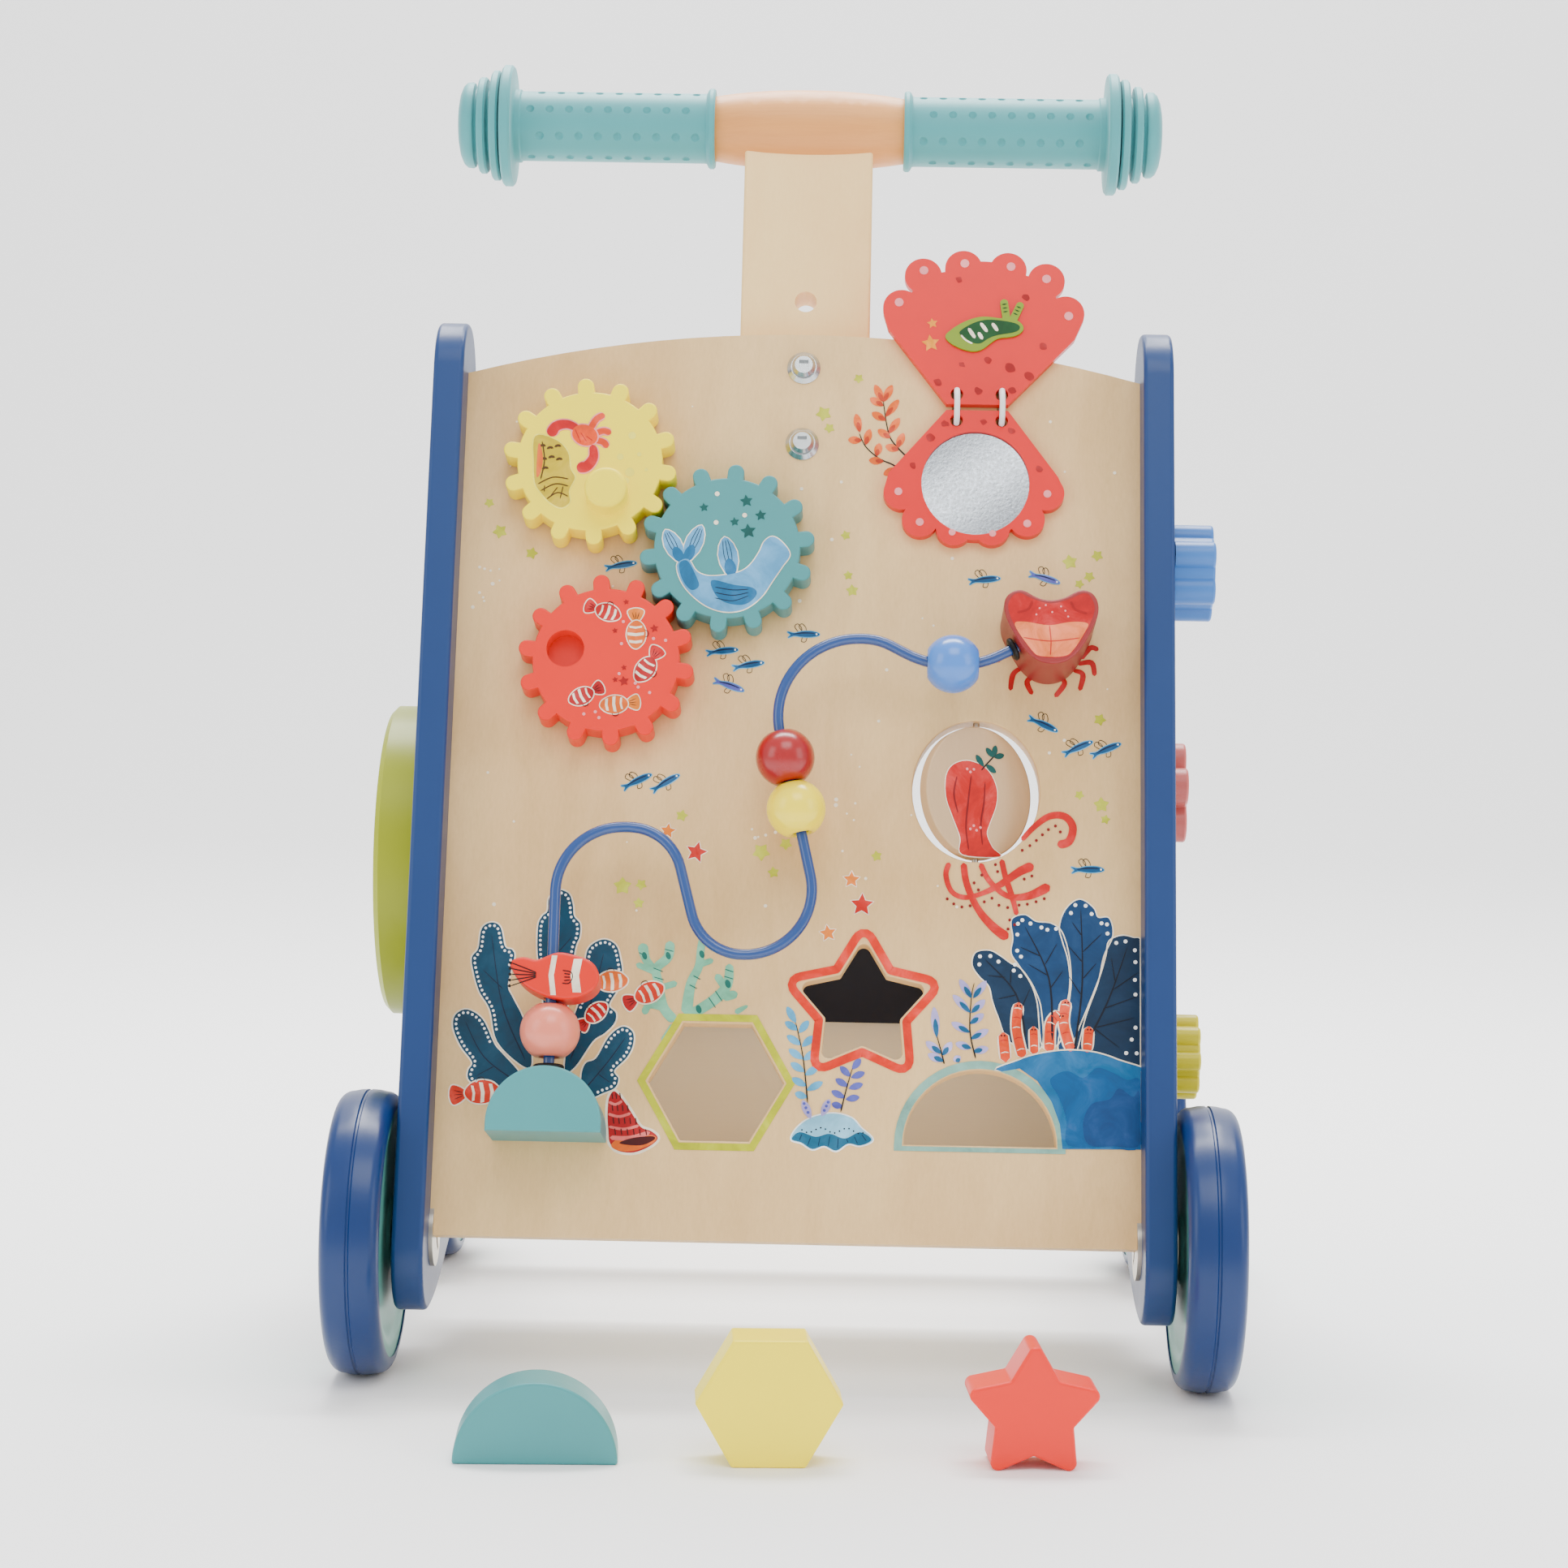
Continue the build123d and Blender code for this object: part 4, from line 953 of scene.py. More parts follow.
u, v, inner, outer = artSizes["hexagon"]
strip(boardArt, hexagonPoints(u, v, outer + 1.4), hexagonPoints(u, v, inner + 0.9), "lime", 2, closed=True)
u, v, inner, outer = artSizes["halfDisc"]


def halfDisc(u, v, r, drop):
    arc = [(u + r * cos(radians(180 * k / 24)), v + r * sin(radians(180 * k / 24))) for k in range(25)]
    return arc + [(u - r, v - drop), (u + r, v - drop)]


strip(boardArt, halfDisc(u, v, outer, 2.3), halfDisc(u, v, inner + 0.5, 0.6), "holeTeal", 3, closed=True)


def starLoop(u, v, tip, inner, rounding, steps=5):
    # a five-pointed star whose points are rounded and whose notches stay crisp
    corners = []
    for k in range(10):
        t = radians(90 + 36 * k)
        q = tip if k % 2 == 0 else inner
        corners.append(Vector((u + q * cos(t), v + q * sin(t))))
    out = []
    for k, c in enumerate(corners):
        a, b = corners[k - 1], corners[(k + 1) % 10]
        cut = rounding if k % 2 == 0 else rounding * 0.3
        out += bend(c + (a - c).normalized() * cut, c, c + (b - c).normalized() * cut, steps)
    return out


u, v, tip, notch = artSizes["star"]
inside = starLoop(u, v, tip + 1.7, notch + 0.8, 3.6)
strip(boardArt, grow(inside, 3.1), inside, "holeRed", 3, closed=True)
print("hole borders printed")

# left seaweed: lobed fronds with a white edge, dotted rims and a dark vein
fronds = [
    ([(-97.7, 62.5), (-106.4, 70.7), (-109.5, 82.3), (-113.7, 89), (-116.2, 96.6), (-116.9, 101.6),
      (-114.7, 105), (-113.8, 112.3), (-110.3, 114.7), (-106.9, 113), (-104.9, 105.8), (-102.2, 104.6),
      (-101.4, 101.5), (-103.3, 91.7), (-101.2, 86.7), (-97.6, 80.1), (-94.8, 71.7), (-93.6, 62.2)],
     [(-95.8, 64), (-105, 84), (-110, 110)], [(-105, 90), (-112.6, 97)], (0.13, 0.66)),
    ([(-88, 74), (-91.6, 97), (-92.9, 103.8), (-93.1, 113.6), (-91.7, 117.4), (-89.8, 119.4), (-89.4, 124.3),
      (-86, 127.3), (-82.2, 126), (-80.6, 121.9), (-80, 117.7), (-77.7, 114.8), (-77.7, 110), (-79.2, 105.3),
      (-80.5, 92), (-83, 74)], [(-85.6, 76), (-85.3, 100), (-85.8, 122)], [(-85.4, 104), (-80.4, 110)],
     (0.16, 0.8)),
    ([(-81.3, 60.7), (-79.9, 75.4), (-77, 85.5), (-74.8, 94), (-75.1, 102.5), (-73.4, 106.9), (-68.6, 109.2),
      (-64.2, 107.1), (-62.4, 101.9), (-61.7, 96.8), (-63, 90.9), (-66, 85), (-63.4, 82), (-63.9, 78.2),
      (-67.4, 74.4), (-71.5, 71.4), (-77.5, 62.1)], [(-79.5, 64), (-72.6, 86), (-68.6, 104)],
     [(-73.4, 82), (-66.4, 79.6)], (0.2, 0.74)),
    ([(-97.4, 58.6), (-104.5, 66.5), (-107.4, 69.8), (-111.9, 78.6), (-117.7, 82.2), (-122, 80.2),
      (-122.6, 75.4), (-119.6, 68.7), (-115.2, 63), (-116.4, 60), (-116.4, 57), (-114, 55), (-109, 54.7),
      (-97.9, 52.4)], [(-99.4, 56.4), (-111, 65), (-118.4, 78)], [(-107, 61.6), (-113.6, 57.8)], (0.24, 0.8)),
    ([(-75.2, 57.6), (-73.9, 63.2), (-70, 65.3), (-65.7, 73.2), (-60.9, 77), (-57.1, 75.2), (-56.7, 70.8),
      (-58.8, 65.8), (-63.3, 60.9), (-61.7, 58), (-62.8, 54.6), (-66.7, 52.7), (-73.4, 50.4)],
     [(-73.6, 54), (-66, 63.6), (-59.6, 73)], [(-69, 59.4), (-64.6, 56.4)], (0.24, 0.86))]
for outline, vein, side, span in fronds:
    loop = smoothLoop(outline)
    patch(boardArt, loop, "seaTeal", 0.55, "cream", 2)
    stroke(boardArt, vein, (0.5, 0.4, 0.25), "seaDeep", 3)
    stroke(boardArt, side, (0.4, 0.3, 0.2), "seaDeep", 3)
    dotsAlong(boardArt, leftTurning(loop), 1.75, 0.5, 1.1, "white", 1 - span[1], 1 - span[0])

# mint corals above the hexagon, then the red cone shell beside it
mintLines = [
    ([(-41.8, 79.5), (-46.1, 84.5), (-48, 92.8), (-49.1, 98.7), (-45, 103.1), (-44.4, 109)], (3.8, 3.2, 3.6)),
    ([(-48.8, 97), (-53, 102), (-54.6, 108)], (3.0, 3.0, 4.2)),
    ([(-49.6, 97.4), (-56.6, 100.3)], 2.2), ([(-47.4, 91.6), (-41.4, 93.6)], 2.4),
    ([(-45.4, 84), (-51.1, 85.2), (-53.2, 81.8)], 2.6),
    ([(-37.7, 81.9), (-36.4, 93.1), (-33.6, 99.9), (-33, 106.7), (-32, 113)], (4.4, 3.2, 2.6)),
    ([(-33.9, 100.2), (-28.4, 102.4)], 2.2),
    ([(-36.4, 81.8), (-27.9, 87.4), (-23, 93.3), (-22.4, 101)], (3.8, 4.0, 3.0)),
    ([(-23.4, 91.7), (-27.2, 97)], 2.8), ([(-24.7, 88.4), (-19.2, 90.1)], 3.2),
    ([(-19.9, 83), (-15.3, 85.7)], (2.2, 1.8, 1.0)), ([(-46.2, 71.8), (-42.2, 78.4)], 2.0)]
for line, width in mintLines:
    stroke(boardArt, line, width, "mint", 1)
for a, b in (
        ((-50.4, 99), (-46.6, 97.6)), ((-50, 95.6), (-46.2, 94.6)), ((-35.6, 96.4), (-32.8, 95)),
        ((-36.9, 93), (-34, 91.6)), ((-29.8, 88.6), (-27, 84.6)), ((-27.4, 91), (-24.6, 87)),
        ((-24.4, 96.4), (-20.8, 95.4)), ((-24, 99), (-20.8, 98)), ((-55.8, 104.6), (-52.6, 103)),
        ((-46.4, 106), (-43, 105.2))):
    stroke(boardArt, [a, b], 0.35, "mintDark", 2)
for u, v, r in ((-53.6, 103.4, 0.9), (-44.9, 103.6, 0.9), (-32.6, 104.4, 0.9), (-22.8, 93.6, 1.0),
                (-33.2, 84, 1.0)):
    fill(boardArt, ring(u, v, r, r * 1.6, 20), "mintDark", 2)

cone = smoothLoop([(-63, 53.3), (-59.5, 49.9), (-56.1, 45), (-53, 40.5), (-48.9, 38.9), (-46.7, 36.5),
  (-49.5, 33.6), (-55.2, 31.2), (-61, 31.7), (-64, 34.5), (-64.7, 39), (-65.2, 44.8), (-64.9, 50.6)])
patch(boardArt, cone, "coneRed", 0.9, "cream", 1)
for k, (a, b) in enumerate((((-64.9, 49.4), (-60, 49.8)), ((-65, 45), (-56.8, 45.4)),
                            ((-64.6, 40.4), (-53.6, 41)), ((-64, 36.4), (-49.6, 38.6)))):
    stroke(boardArt, [a, ((a[0] + b[0]) / 2, (a[1] + b[1]) / 2 - 1.1), b], 1.0 if k < 3 else 1.6, "conePink", 2)
    for i in range(3 + k):
        x = a[0] + (b[0] - a[0]) * (i + 0.7) / (3.4 + k)
        stroke(boardArt, [(x, a[1] + 3.4), (x + 0.4, a[1] + 1.0)], 0.42, "coneDark", 2)
fill(boardArt, smoothLoop([(-63.5, 33.7), (-60.4, 36.4), (-53.8, 37.6), (-48.8, 37.6), (-47.1, 36.3),
                           (-49.5, 34), (-55.2, 31.8), (-61, 31.8)]), "fishOrange", 2)
fill(boardArt, smoothLoop([(-60.5, 34.4), (-56, 36.4), (-48.6, 37.2), (-48.2, 35.8), (-53, 33.8)]), "coneDark",
     3)
print("left side printed")

# right side: leafy coral, mound, tube worms and sprigs
bigLeaves = [
    ([(98.4, 117.3), (100.6, 123.7), (105.5, 127.5), (110.5, 124.5), (112.3, 120.9), (116.3, 120.7),
      (117.6, 114.5), (114.3, 106.7), (112.1, 96.6), (107.7, 84.3), (103.3, 68.5), (98, 72.7), (102.1, 93.1),
      (101.7, 104.2), (99.5, 111.9)], [(103.6, 70), (106.6, 96), (106, 124)], [((106.2, 92), (101.6, 99)),
      ((106.8, 98), (111.8, 104)), ((106.8, 104), (101.6, 110)), ((106.8, 108), (113.8, 115)),
      ((106.4, 114), (102.8, 119))], "leafBlue"),
    ([(116.5, 112.1), (120.9, 114.3), (125.3, 113.6), (127.9, 112.5), (127.9, 102.5), (127.9, 91.4),
      (127.9, 80.3), (127.9, 64.2), (116.7, 68.2), (104, 70.2), (104.5, 76.5), (108.9, 87.7), (113.2, 98.9),
      (115.4, 106.7)], [(107, 72), (116, 90), (123, 110)], [((111, 80), (125.6, 84)), ((114, 87), (127, 92)),
      ((117.6, 94), (127.4, 101)), ((110.8, 80), (120, 73)), ((118.6, 97), (117.2, 106))], "leafDeep"),
    ([(80.8, 119.4), (85.5, 121.3), (89.6, 118.9), (95.1, 118.3), (98.9, 115.3), (101.4, 107.5), (102.3, 98.6),
      (101.8, 90.9), (99.1, 75.9), (92.5, 72.5), (90.5, 88.4), (88, 96.1), (83.6, 102.7), (80.8, 107.1),
      (81.4, 112.7)], [(95.8, 75), (94.4, 98), (85.6, 117)], [((94.8, 94), (99.6, 101)), ((94, 99), (87, 103)),
      ((93, 103), (97.4, 111)), ((91.6, 106), (83.8, 109.4))], "leafBlue"),
    ([(89.2, 93.4), (86.4, 98.3), (83.6, 101.6), (80.3, 103.2), (76.5, 105.9), (72.6, 107.8), (67.7, 106.9),
      (66.6, 102.4), (69.2, 98.2), (72.7, 94.7), (74.1, 89.2), (76.1, 83.7), (80.5, 74.3), (91.4, 72.3),
      (91.5, 86.2)], [(86, 76), (82.4, 92), (71, 104.6)], [((84.6, 87), (87.6, 94)), ((82.6, 91.6), (76, 90)),
      ((80.4, 95.6), (80.6, 101)), ((78.6, 98), (72, 98.6))], "leafDeep")]
for outline, vein, sides, colour in bigLeaves:
    loop = leftTurning(smoothLoop(outline))
    patch(boardArt, [(min(p[0], 127.9), p[1]) for p in loop], colour, 0.0)
    strip(boardArt, [(min(p[0], 127.9), p[1]) for p in grow(loop, 0.45)],
          [(min(p[0], 127.6), p[1]) for p in loop], "cream", 2, closed=True)
    stroke(boardArt, vein, (0.9, 0.6, 0.3), "vein", 3)
    for a, b in sides:
        stroke(boardArt, [a, b], (0.45, 0.35, 0.2), "vein", 3)
for u, v in (
        (102.4, 122.4), (104, 125.4), (107.8, 125.2), (110, 122.2), (113.6, 118.8), (115.6, 118.4),
        (115.8, 115), (119, 111.6), (122.4, 112.2), (125.8, 109), (126, 104.6), (125.8, 98), (126, 92.6),
        (83, 118), (84.6, 119.4), (87.6, 118.2), (91.6, 116.8), (93.8, 116), (97, 116.4), (82.8, 114),
        (82.8, 108), (84.2, 105.8), (69.2, 105.6), (69, 102.6), (73, 105.8), (76, 103.8), (81.6, 100.6),
        (84, 98.6), (82, 102.8), (124.6, 76), (126.4, 71), (122.6, 71), (126, 80.4)):
    dot(boardArt, u, v, 0.72)
mound = smoothLoop([(77.3, 63.3), (83.8, 67.9), (91.5, 70.4), (101.3, 71.8), (111.1, 71.2), (119.8, 68.6),
                    (127.9, 64.3)])[:-5]
moundEdge = mound + [(127.9, 64.3), (127.9, 36.0), (99.6, 35.6), (98.6, 44.6), (95.6, 52.7), (90.4, 60.2),
                     (84, 64.6)]
patch(boardArt, moundEdge, "mound", 0.0, layer=3)
fill(
    boardArt,
    smoothLoop([(101.6, 37), (101, 46), (98.4, 54), (95, 60.6), (101, 64), (107, 61.6), (112, 65.4),
      (118, 63.6), (123, 61.2), (127.4, 61.4), (127.6, 50), (127.4, 36.6), (115, 36.6)]),
    "moundMid", 4)
fill(
    boardArt,
    smoothLoop([(109, 37.4), (107, 45), (110, 52), (116.6, 54), (120, 58), (125, 55), (127.2, 57), (127.4, 46),
      (127, 37.2), (118, 37)]),
    "moundDeep", 5)
stroke(boardArt, mound + [(127.9, 64.3)], 0.5, "cream", 4, steps=1)
tubes = [
    ([(78.9, 66.9), (77.8, 77.7)], 3.6), ([(85.1, 68.5), (82.7, 79.4), (83.5, 88.8)], 3.5),
    ([(89.3, 69.7), (88.9, 80.1)], 3.0), ([(94.7, 70.7), (95.2, 81.3), (99, 85.3)], 3.7),
    ([(102.6, 71.3), (99.9, 81.4), (100.9, 90.3)], 3.7),
    ([(108.4, 71), (109.1, 80.5)], 3.5)]
for line, width in tubes:
    stroke(boardArt, line, width + 1.1, "cream", 2)
    stroke(boardArt, line, width, "tube", 3)
    pts = smoothLine(line, 6)
    for k in range(2, len(pts) - 2, 2):
        d = (Vector(pts[k + 1]) - Vector(pts[k - 1])).normalized()
        p, side = Vector(pts[k]), Vector((-d.y, d.x)) * width * 0.42
        stroke(boardArt, [tuple(p - side), tuple(p + d * 0.4), tuple(p + side)], 0.36,
               "cream" if k % 4 else "tubeRed", 4, 2)
    dot(boardArt, pts[-1][0] - 0.5, pts[-1][1] - 1.2, 0.32, "line", 4)
    dot(boardArt, pts[-1][0] + 0.6, pts[-1][1] - 1.2, 0.32, "line", 4)
sprigs = [
    ([(68, 67.9), (65.8, 78), (66.2, 90.1), (67.2, 95.7)], "lilac", "sprigBlue", 2.9,
     [((66.4, 90), (61.8, 97)), ((66.8, 90), (71.6, 96.6)), ((66, 84.6), (59.4, 91.2)),
      ((66.2, 84.6), (71.2, 89.6)), ((65.8, 80.6), (70.8, 84.4)), ((65.8, 77.4), (59, 81)),
      ((66, 75), (72.6, 78.6)), ((66.4, 71.6), (60.6, 73.4)), ((67, 70.4), (72.6, 71.8))]),
    ([(56.6, 65.7), (55.5, 70), (53.8, 76)], "lilac", "sprigBlue", 3.0, [((53.8, 75.2), (52.6, 86.6)),
      ((55.6, 69.4), (49.8, 73.8)), ((56, 68.8), (59.2, 73.8)), ((56.4, 66.6), (50.6, 69.2)),
      ((62, 66.4), (60.6, 68.8))]),
    ([(7.3, 50.2), (5.3, 66.8), (2.3, 80)], "skyBlue", "skyBlue", 2.7, [((2.4, 79.6), (-1, 85.6)),
      ((3.2, 77), (-1.6, 80)), ((3.6, 76), (7, 80.6)), ((4.4, 71.6), (-0.8, 75)), ((4.8, 71), (9, 75)),
      ((5.2, 66.4), (0, 70)), ((5.4, 66), (9.8, 69.6)), ((5.8, 61.8), (0.8, 65)), ((6.2, 60.6), (10.6, 63.6)),
      ((6.6, 56.6), (1.4, 59.4)), ((6.8, 55), (12.6, 58.2)), ((7, 52.4), (2.6, 54))]),
    ([(19.3, 47.4), (21.3, 56.2), (23.3, 63.5)], "violet", "violet", 2.5, [((23.2, 63), (26.2, 67)),
      ((22.6, 60.4), (18.8, 64)), ((22.8, 60), (27.8, 62)), ((21.8, 56.8), (17.2, 59.4)),
      ((22, 56), (27.2, 57.8)), ((20.8, 52.6), (15.8, 55)), ((21, 52), (26, 53)), ((20, 49.2), (16, 50.4))])]
for stem, tipInk, baseInk, width, leaves in sprigs:
    for a, b in leaves:
        fill(boardArt, leafShape(a, b, width), tipInk, 2)
        if tipInk != baseInk:
            fill(boardArt, leafShape(a, between(a, b, 0.62), width * 0.62), baseInk, 3)
    stroke(boardArt, stem, (0.55, 0.4, 0.25), "line", 3)
ruffle = smoothLoop([(1.6, 37.2), (3.9, 41.6), (9, 45.2), (16.6, 46.8), (23.2, 45.3), (26.7, 41.8),
  (31.1, 37.6), (26.6, 35.3), (22.2, 35.9), (17.9, 33.2), (13.6, 34.9), (9.3, 33.6), (5.4, 35.8)])
patch(boardArt, ruffle, "ruffle", 0.5, "white", 3)
fill(
    boardArt,
    smoothLoop([(1.8, 37.2), (4.6, 39.8), (10.4, 38.2), (15.4, 39.4), (21, 37.8), (26.4, 40.2), (30.6, 37.6),
      (26.6, 35.4), (22.2, 36), (17.9, 33.4), (13.6, 35), (9.3, 33.8), (5.4, 36)]),
    "ruffleDeep", 4)
for a, b in (
        ((5.4, 39), (4.6, 36.8)), ((8.6, 38), (7.6, 35)), ((12, 38), (11.4, 34.8)), ((15.6, 38.6), (15, 34.8)),
        ((18.6, 38), (18.4, 34)), ((21.6, 37.6), (22.2, 36.4)), ((24.4, 38.6), (25.6, 36)),
        ((27, 39.4), (28.8, 37))):
    stroke(boardArt, [a, b], 0.3, "leafDeep", 5)
for k in range(14):
    dot(boardArt, 5.4 + 1.7 * k, 40.6 - 0.9 * sin(k * 1.15), 0.3, "line", 4)
for a, b in (((8.6, 44.6), (5.4, 51.4)), ((12.4, 45.6), (15.2, 52))):
    fill(boardArt, leafShape(a, b, 3.0), "lilac", 4)
    for t in (0.35, 0.6, 0.82):
        fill(boardArt, ring(*between(a, b, t), 0.55), "violet", 5)
print("right side printed")

# red curling weed under the turning plaque, with rows of dots
weeds = [
    ([(57.6, 140.4), (56.4, 135.8), (58.6, 129.6), (63.6, 127.5), (70.2, 129.3), (76.8, 132.8), (83.4, 137.5),
      (88.6, 140)], (2.0, 1.7, 3.6)),
    ([(62.8, 140.4), (64.1, 132.6), (68.1, 123.6), (73.6, 117), (79.4, 112.6)], (2.4, 2.4, 3.8)),
    ([(69, 140.4), (72.4, 133.9), (79, 128.4), (86.8, 128.5), (94.6, 132.4)], (2.0, 2.0, 3.8)),
    ([(76.8, 142), (78.4, 135.1), (80.7, 128.4), (82.6, 121.2)], (2.0, 2.2, 1.7)),
    ([(84.2, 149.4), (88.6, 154.4), (94.3, 158.6), (99.9, 158.7), (103, 154.8), (101.6, 149.3), (97.4, 147.9)],
     (1.8, 2.6, 3.2))]
for line, width in weeds:
    stroke(boardArt, line, width, "arm", 3)
for u, v in (
        (57, 126.8), (59.4, 125), (62.4, 123.9), (65.4, 124.4), (70.6, 126), (73.4, 127.4), (76, 124.8),
        (79.2, 124), (83.4, 125), (86.4, 125.4), (89.6, 126.4), (92.6, 127.6), (66.8, 133), (68.4, 130.4),
        (69.6, 136), (85.2, 134.8), (88, 136), (80, 119.4), (81.8, 117.6), (79.4, 116), (84.4, 145.6),
        (87.2, 147.4), (89.6, 149.4), (91.8, 151.6), (94, 153.6), (96.6, 155), (98.4, 152.8), (74.6, 140),
        (75.4, 137.4)):
    dot(boardArt, u, v, 0.55, "armDark")

# small striped fish and minnows


def bandedFish(sheet, tail, nose, colour, fin, layer=3, edge=0.5):
    a, b = Vector(tail), Vector(nose)
    d = (b - a).normalized()
    s = Vector((-d.y, d.x))
    size = (b - a).length

    def at(x, y):
        p = a + d * x * size + s * y * size
        return p.x, p.y

    tailFan = smoothLoop([at(0.34, 0.03), at(0.2, 0.15), at(0.04, 0.19), at(-0.02, 0.0), at(0.04, -0.19),
                          at(0.2, -0.15), at(0.34, -0.03)])
    body = smoothLoop([at(0.3, 0.06), at(0.42, 0.19), at(0.62, 0.25), at(0.84, 0.2), at(0.98, 0.07),
      at(1.0, -0.02), at(0.92, -0.13), at(0.7, -0.22), at(0.46, -0.19), at(0.32, -0.07)])
    patch(sheet, tailFan, fin, edge, "cream", layer)
    patch(sheet, body, colour, edge, "cream", layer + 1)
    for x, h, w in ((0.45, 0.16, 0.026), (0.63, 0.21, 0.038), (0.82, 0.165, 0.034)):
        strip(sheet, [at(x - w, -h), at(x - w + 0.025, 0), at(x - w, h)],
              [at(x + w, -h * 0.93), at(x + w + 0.025, 0), at(x + w, h * 0.93)], "cream", layer + 2)
    for k in (-1, 0, 1):
        stroke(sheet, [at(0.08, 0.09 * k), at(0.26, 0.03 * k)], 0.24, "line", layer + 2, 2)
    stroke(sheet, [at(0.52, 0.2), at(0.58, 0.3), at(0.68, 0.3), at(0.72, 0.22)], 0.22, "line", layer + 1, 3)


for tail, nose, colour, fin in (((-75.4, 92.4), (-59.5, 94.2), "fishOrange", "fishOrange"),
                                ((-60.3, 85.2), (-46.4, 92.2), "fish", "coneRed"),
                                ((-76.6, 76.2), (-67, 85.2), "fishRed", "fishRed"),
                                ((-122.6, 50.6), (-104.6, 52.6), "fish", "fish")):
    bandedFish(boardArt, tail, nose, colour, fin)


def minnow(u, v, turn, size=11.6, dark=False):
    t0 = radians(turn)

    def at(x, y):
        return u + size * (x * cos(t0) - y * sin(t0)), v + size * (x * sin(t0) + y * cos(t0))

    for x in (-0.12, 0.02):
        stroke(boardArt, [at(x, 0.04), at(x - 0.16, 0.26), at(x - 0.06, 0.36), at(x + 0.06, 0.22),
                          at(x + 0.06, 0.05)], 0.2, "line", 1, 4)
    stroke(boardArt, [at(0.0, -0.04), at(-0.08, -0.22), at(0.06, -0.24), at(0.12, -0.05)], 0.2, "line", 1, 4)
    body = smoothLoop([at(-0.42, 0.0), at(-0.52, 0.1), at(-0.3, 0.05), at(-0.05, 0.1), at(0.25, 0.1),
      at(0.46, 0.04), at(0.5, -0.03), at(0.3, -0.08), at(0, -0.08), at(-0.3, -0.04), at(-0.5, -0.1)])
    patch(boardArt, body, "violet" if dark else "minnow", 0.3, "skyBlue", 2)
    stroke(boardArt, [at(-0.34, 0.02), at(0, 0.05), at(0.36, 0.03)], (0.3, 0.55, 0.3), "minnowDark", 3)
    dot(boardArt, *at(0.42, 0.0), 0.34, "white")


for u, v, turn, dark in (
        (-67.3, 252.3, 12, 0), (2.1, 226.6, 2, 0), (-28.2, 219.5, 8, 0), (-18.3, 214.3, 12, 0),
        (-25.4, 206.3, -18, 1), (-58.5, 169, 28, 0), (-47.9, 168.6, 33, 0), (69.6, 249.1, 8, 0),
        (92.1, 250.1, -16, 1), (91.8, 193.5, -24, 0), (104.8, 184.8, 26, 0), (115.2, 184.3, 25, 0),
        (108.5, 138.7, 2, 0)):
    minnow(u, v, turn, dark=bool(dark))

# stars and bubbles
rng = random.Random(11)
for u, v, r in (
        (-113.4, 264.9, 2.6), (-117.9, 276.1, 1.8), (-101.1, 256.5, 2.2), (7.9, 313.9, 2.8), (10.2, 308.1, 1.9),
        (21, 328.2, 1.8), (101.6, 256.7, 2.7), (111.9, 259.4, 2.1), (108.9, 251.1, 2.0), (105.2, 248.2, 1.7),
        (20, 244.1, 2.2), (17.2, 265.7, 1.8), (18.4, 250, 1.7), (112.9, 195.8, 2.2), (105.4, 166.9, 1.7),
        (113.5, 163.3, 2.7), (115, 157.8, 1.7), (-41.5, 156.3, 2.1), (-11.8, 143.1, 3.1), (-2.8, 146.3, 2.2),
        (-7.1, 135.5, 2.0), (-62.6, 129.3, 3.1), (-55.7, 130, 2.0), (-56.4, 123, 1.9), (30.8, 142.4, 1.9)):
    fill(boardArt, starShape(u, v, r * 1.12, rng.uniform(0, 60), 0.6), "paleLime", 0)
for u, v, r, colour in ((-46.5, 150.4, 3.0, "orange"), (-35.7, 142.6, 4.1, "red"), (21.7, 133.4, 3.2, "orange"),
                        (25.7, 124, 4.4, "red"), (13.4, 113.2, 3.2, "orange")):
    patch(boardArt, starShape(u, v, r, rng.uniform(-14, 14), 0.47), colour, 0.35, "cream", 1)
for u, v in ((-120.3, 239.3), (-117.6, 246.6), (-66.9, 241.8), (77.7, 273.2), (-11.3, 150.8), (18.5, 159)):
    for k in range(5):
        dot(boardArt, u + rng.uniform(-5, 5), v + rng.uniform(-5, 5), rng.uniform(0.35, 0.8), "cream", 0)
for k in range(46):
    dot(boardArt, rng.uniform(-118, 120), rng.uniform(118, 316), rng.uniform(0.3, 0.75), "cream", 0)

# orange twigs beside the mirror
for line in ([(40.6, 297), (38.2, 298.7), (33.6, 304.2), (31.8, 310.7), (30.5, 319.4)],
             [(38.6, 291.2), (34.6, 293.9), (29.2, 296.4), (24.1, 301), (21.6, 306.2)]):
    stroke(boardArt, line, (0.6, 0.45, 0.3), "line", 2)
for tip, base in (
        ((27.2, 325.8), (30.4, 319)), ((33.8, 325.8), (30.6, 319)), ((25.4, 320.4), (30.6, 317.4)),
        ((36.4, 320), (31.4, 313)), ((26.2, 314.6), (31.6, 311.6)), ((36.8, 312.6), (32.8, 306.4)),
        ((28.6, 307.8), (33.4, 304.6)), ((38.4, 306.6), (36, 300.6)), ((31.6, 301.4), (36.6, 299.8)),
        ((20.2, 314), (21.8, 306.6)), ((17.4, 303.6), (22.6, 303.4)), ((25.6, 308), (24, 301.6)),
        ((29.4, 302.4), (28.2, 297.2)), ((25.4, 295.6), (31, 295.2)), ((31, 290), (36.4, 292.6))):
    fill(boardArt, leafShape(base, tip, 3.0), "twig", 2)
    fill(boardArt, leafShape(base, between(base, tip, 0.55), 1.7), "twigRed", 3)

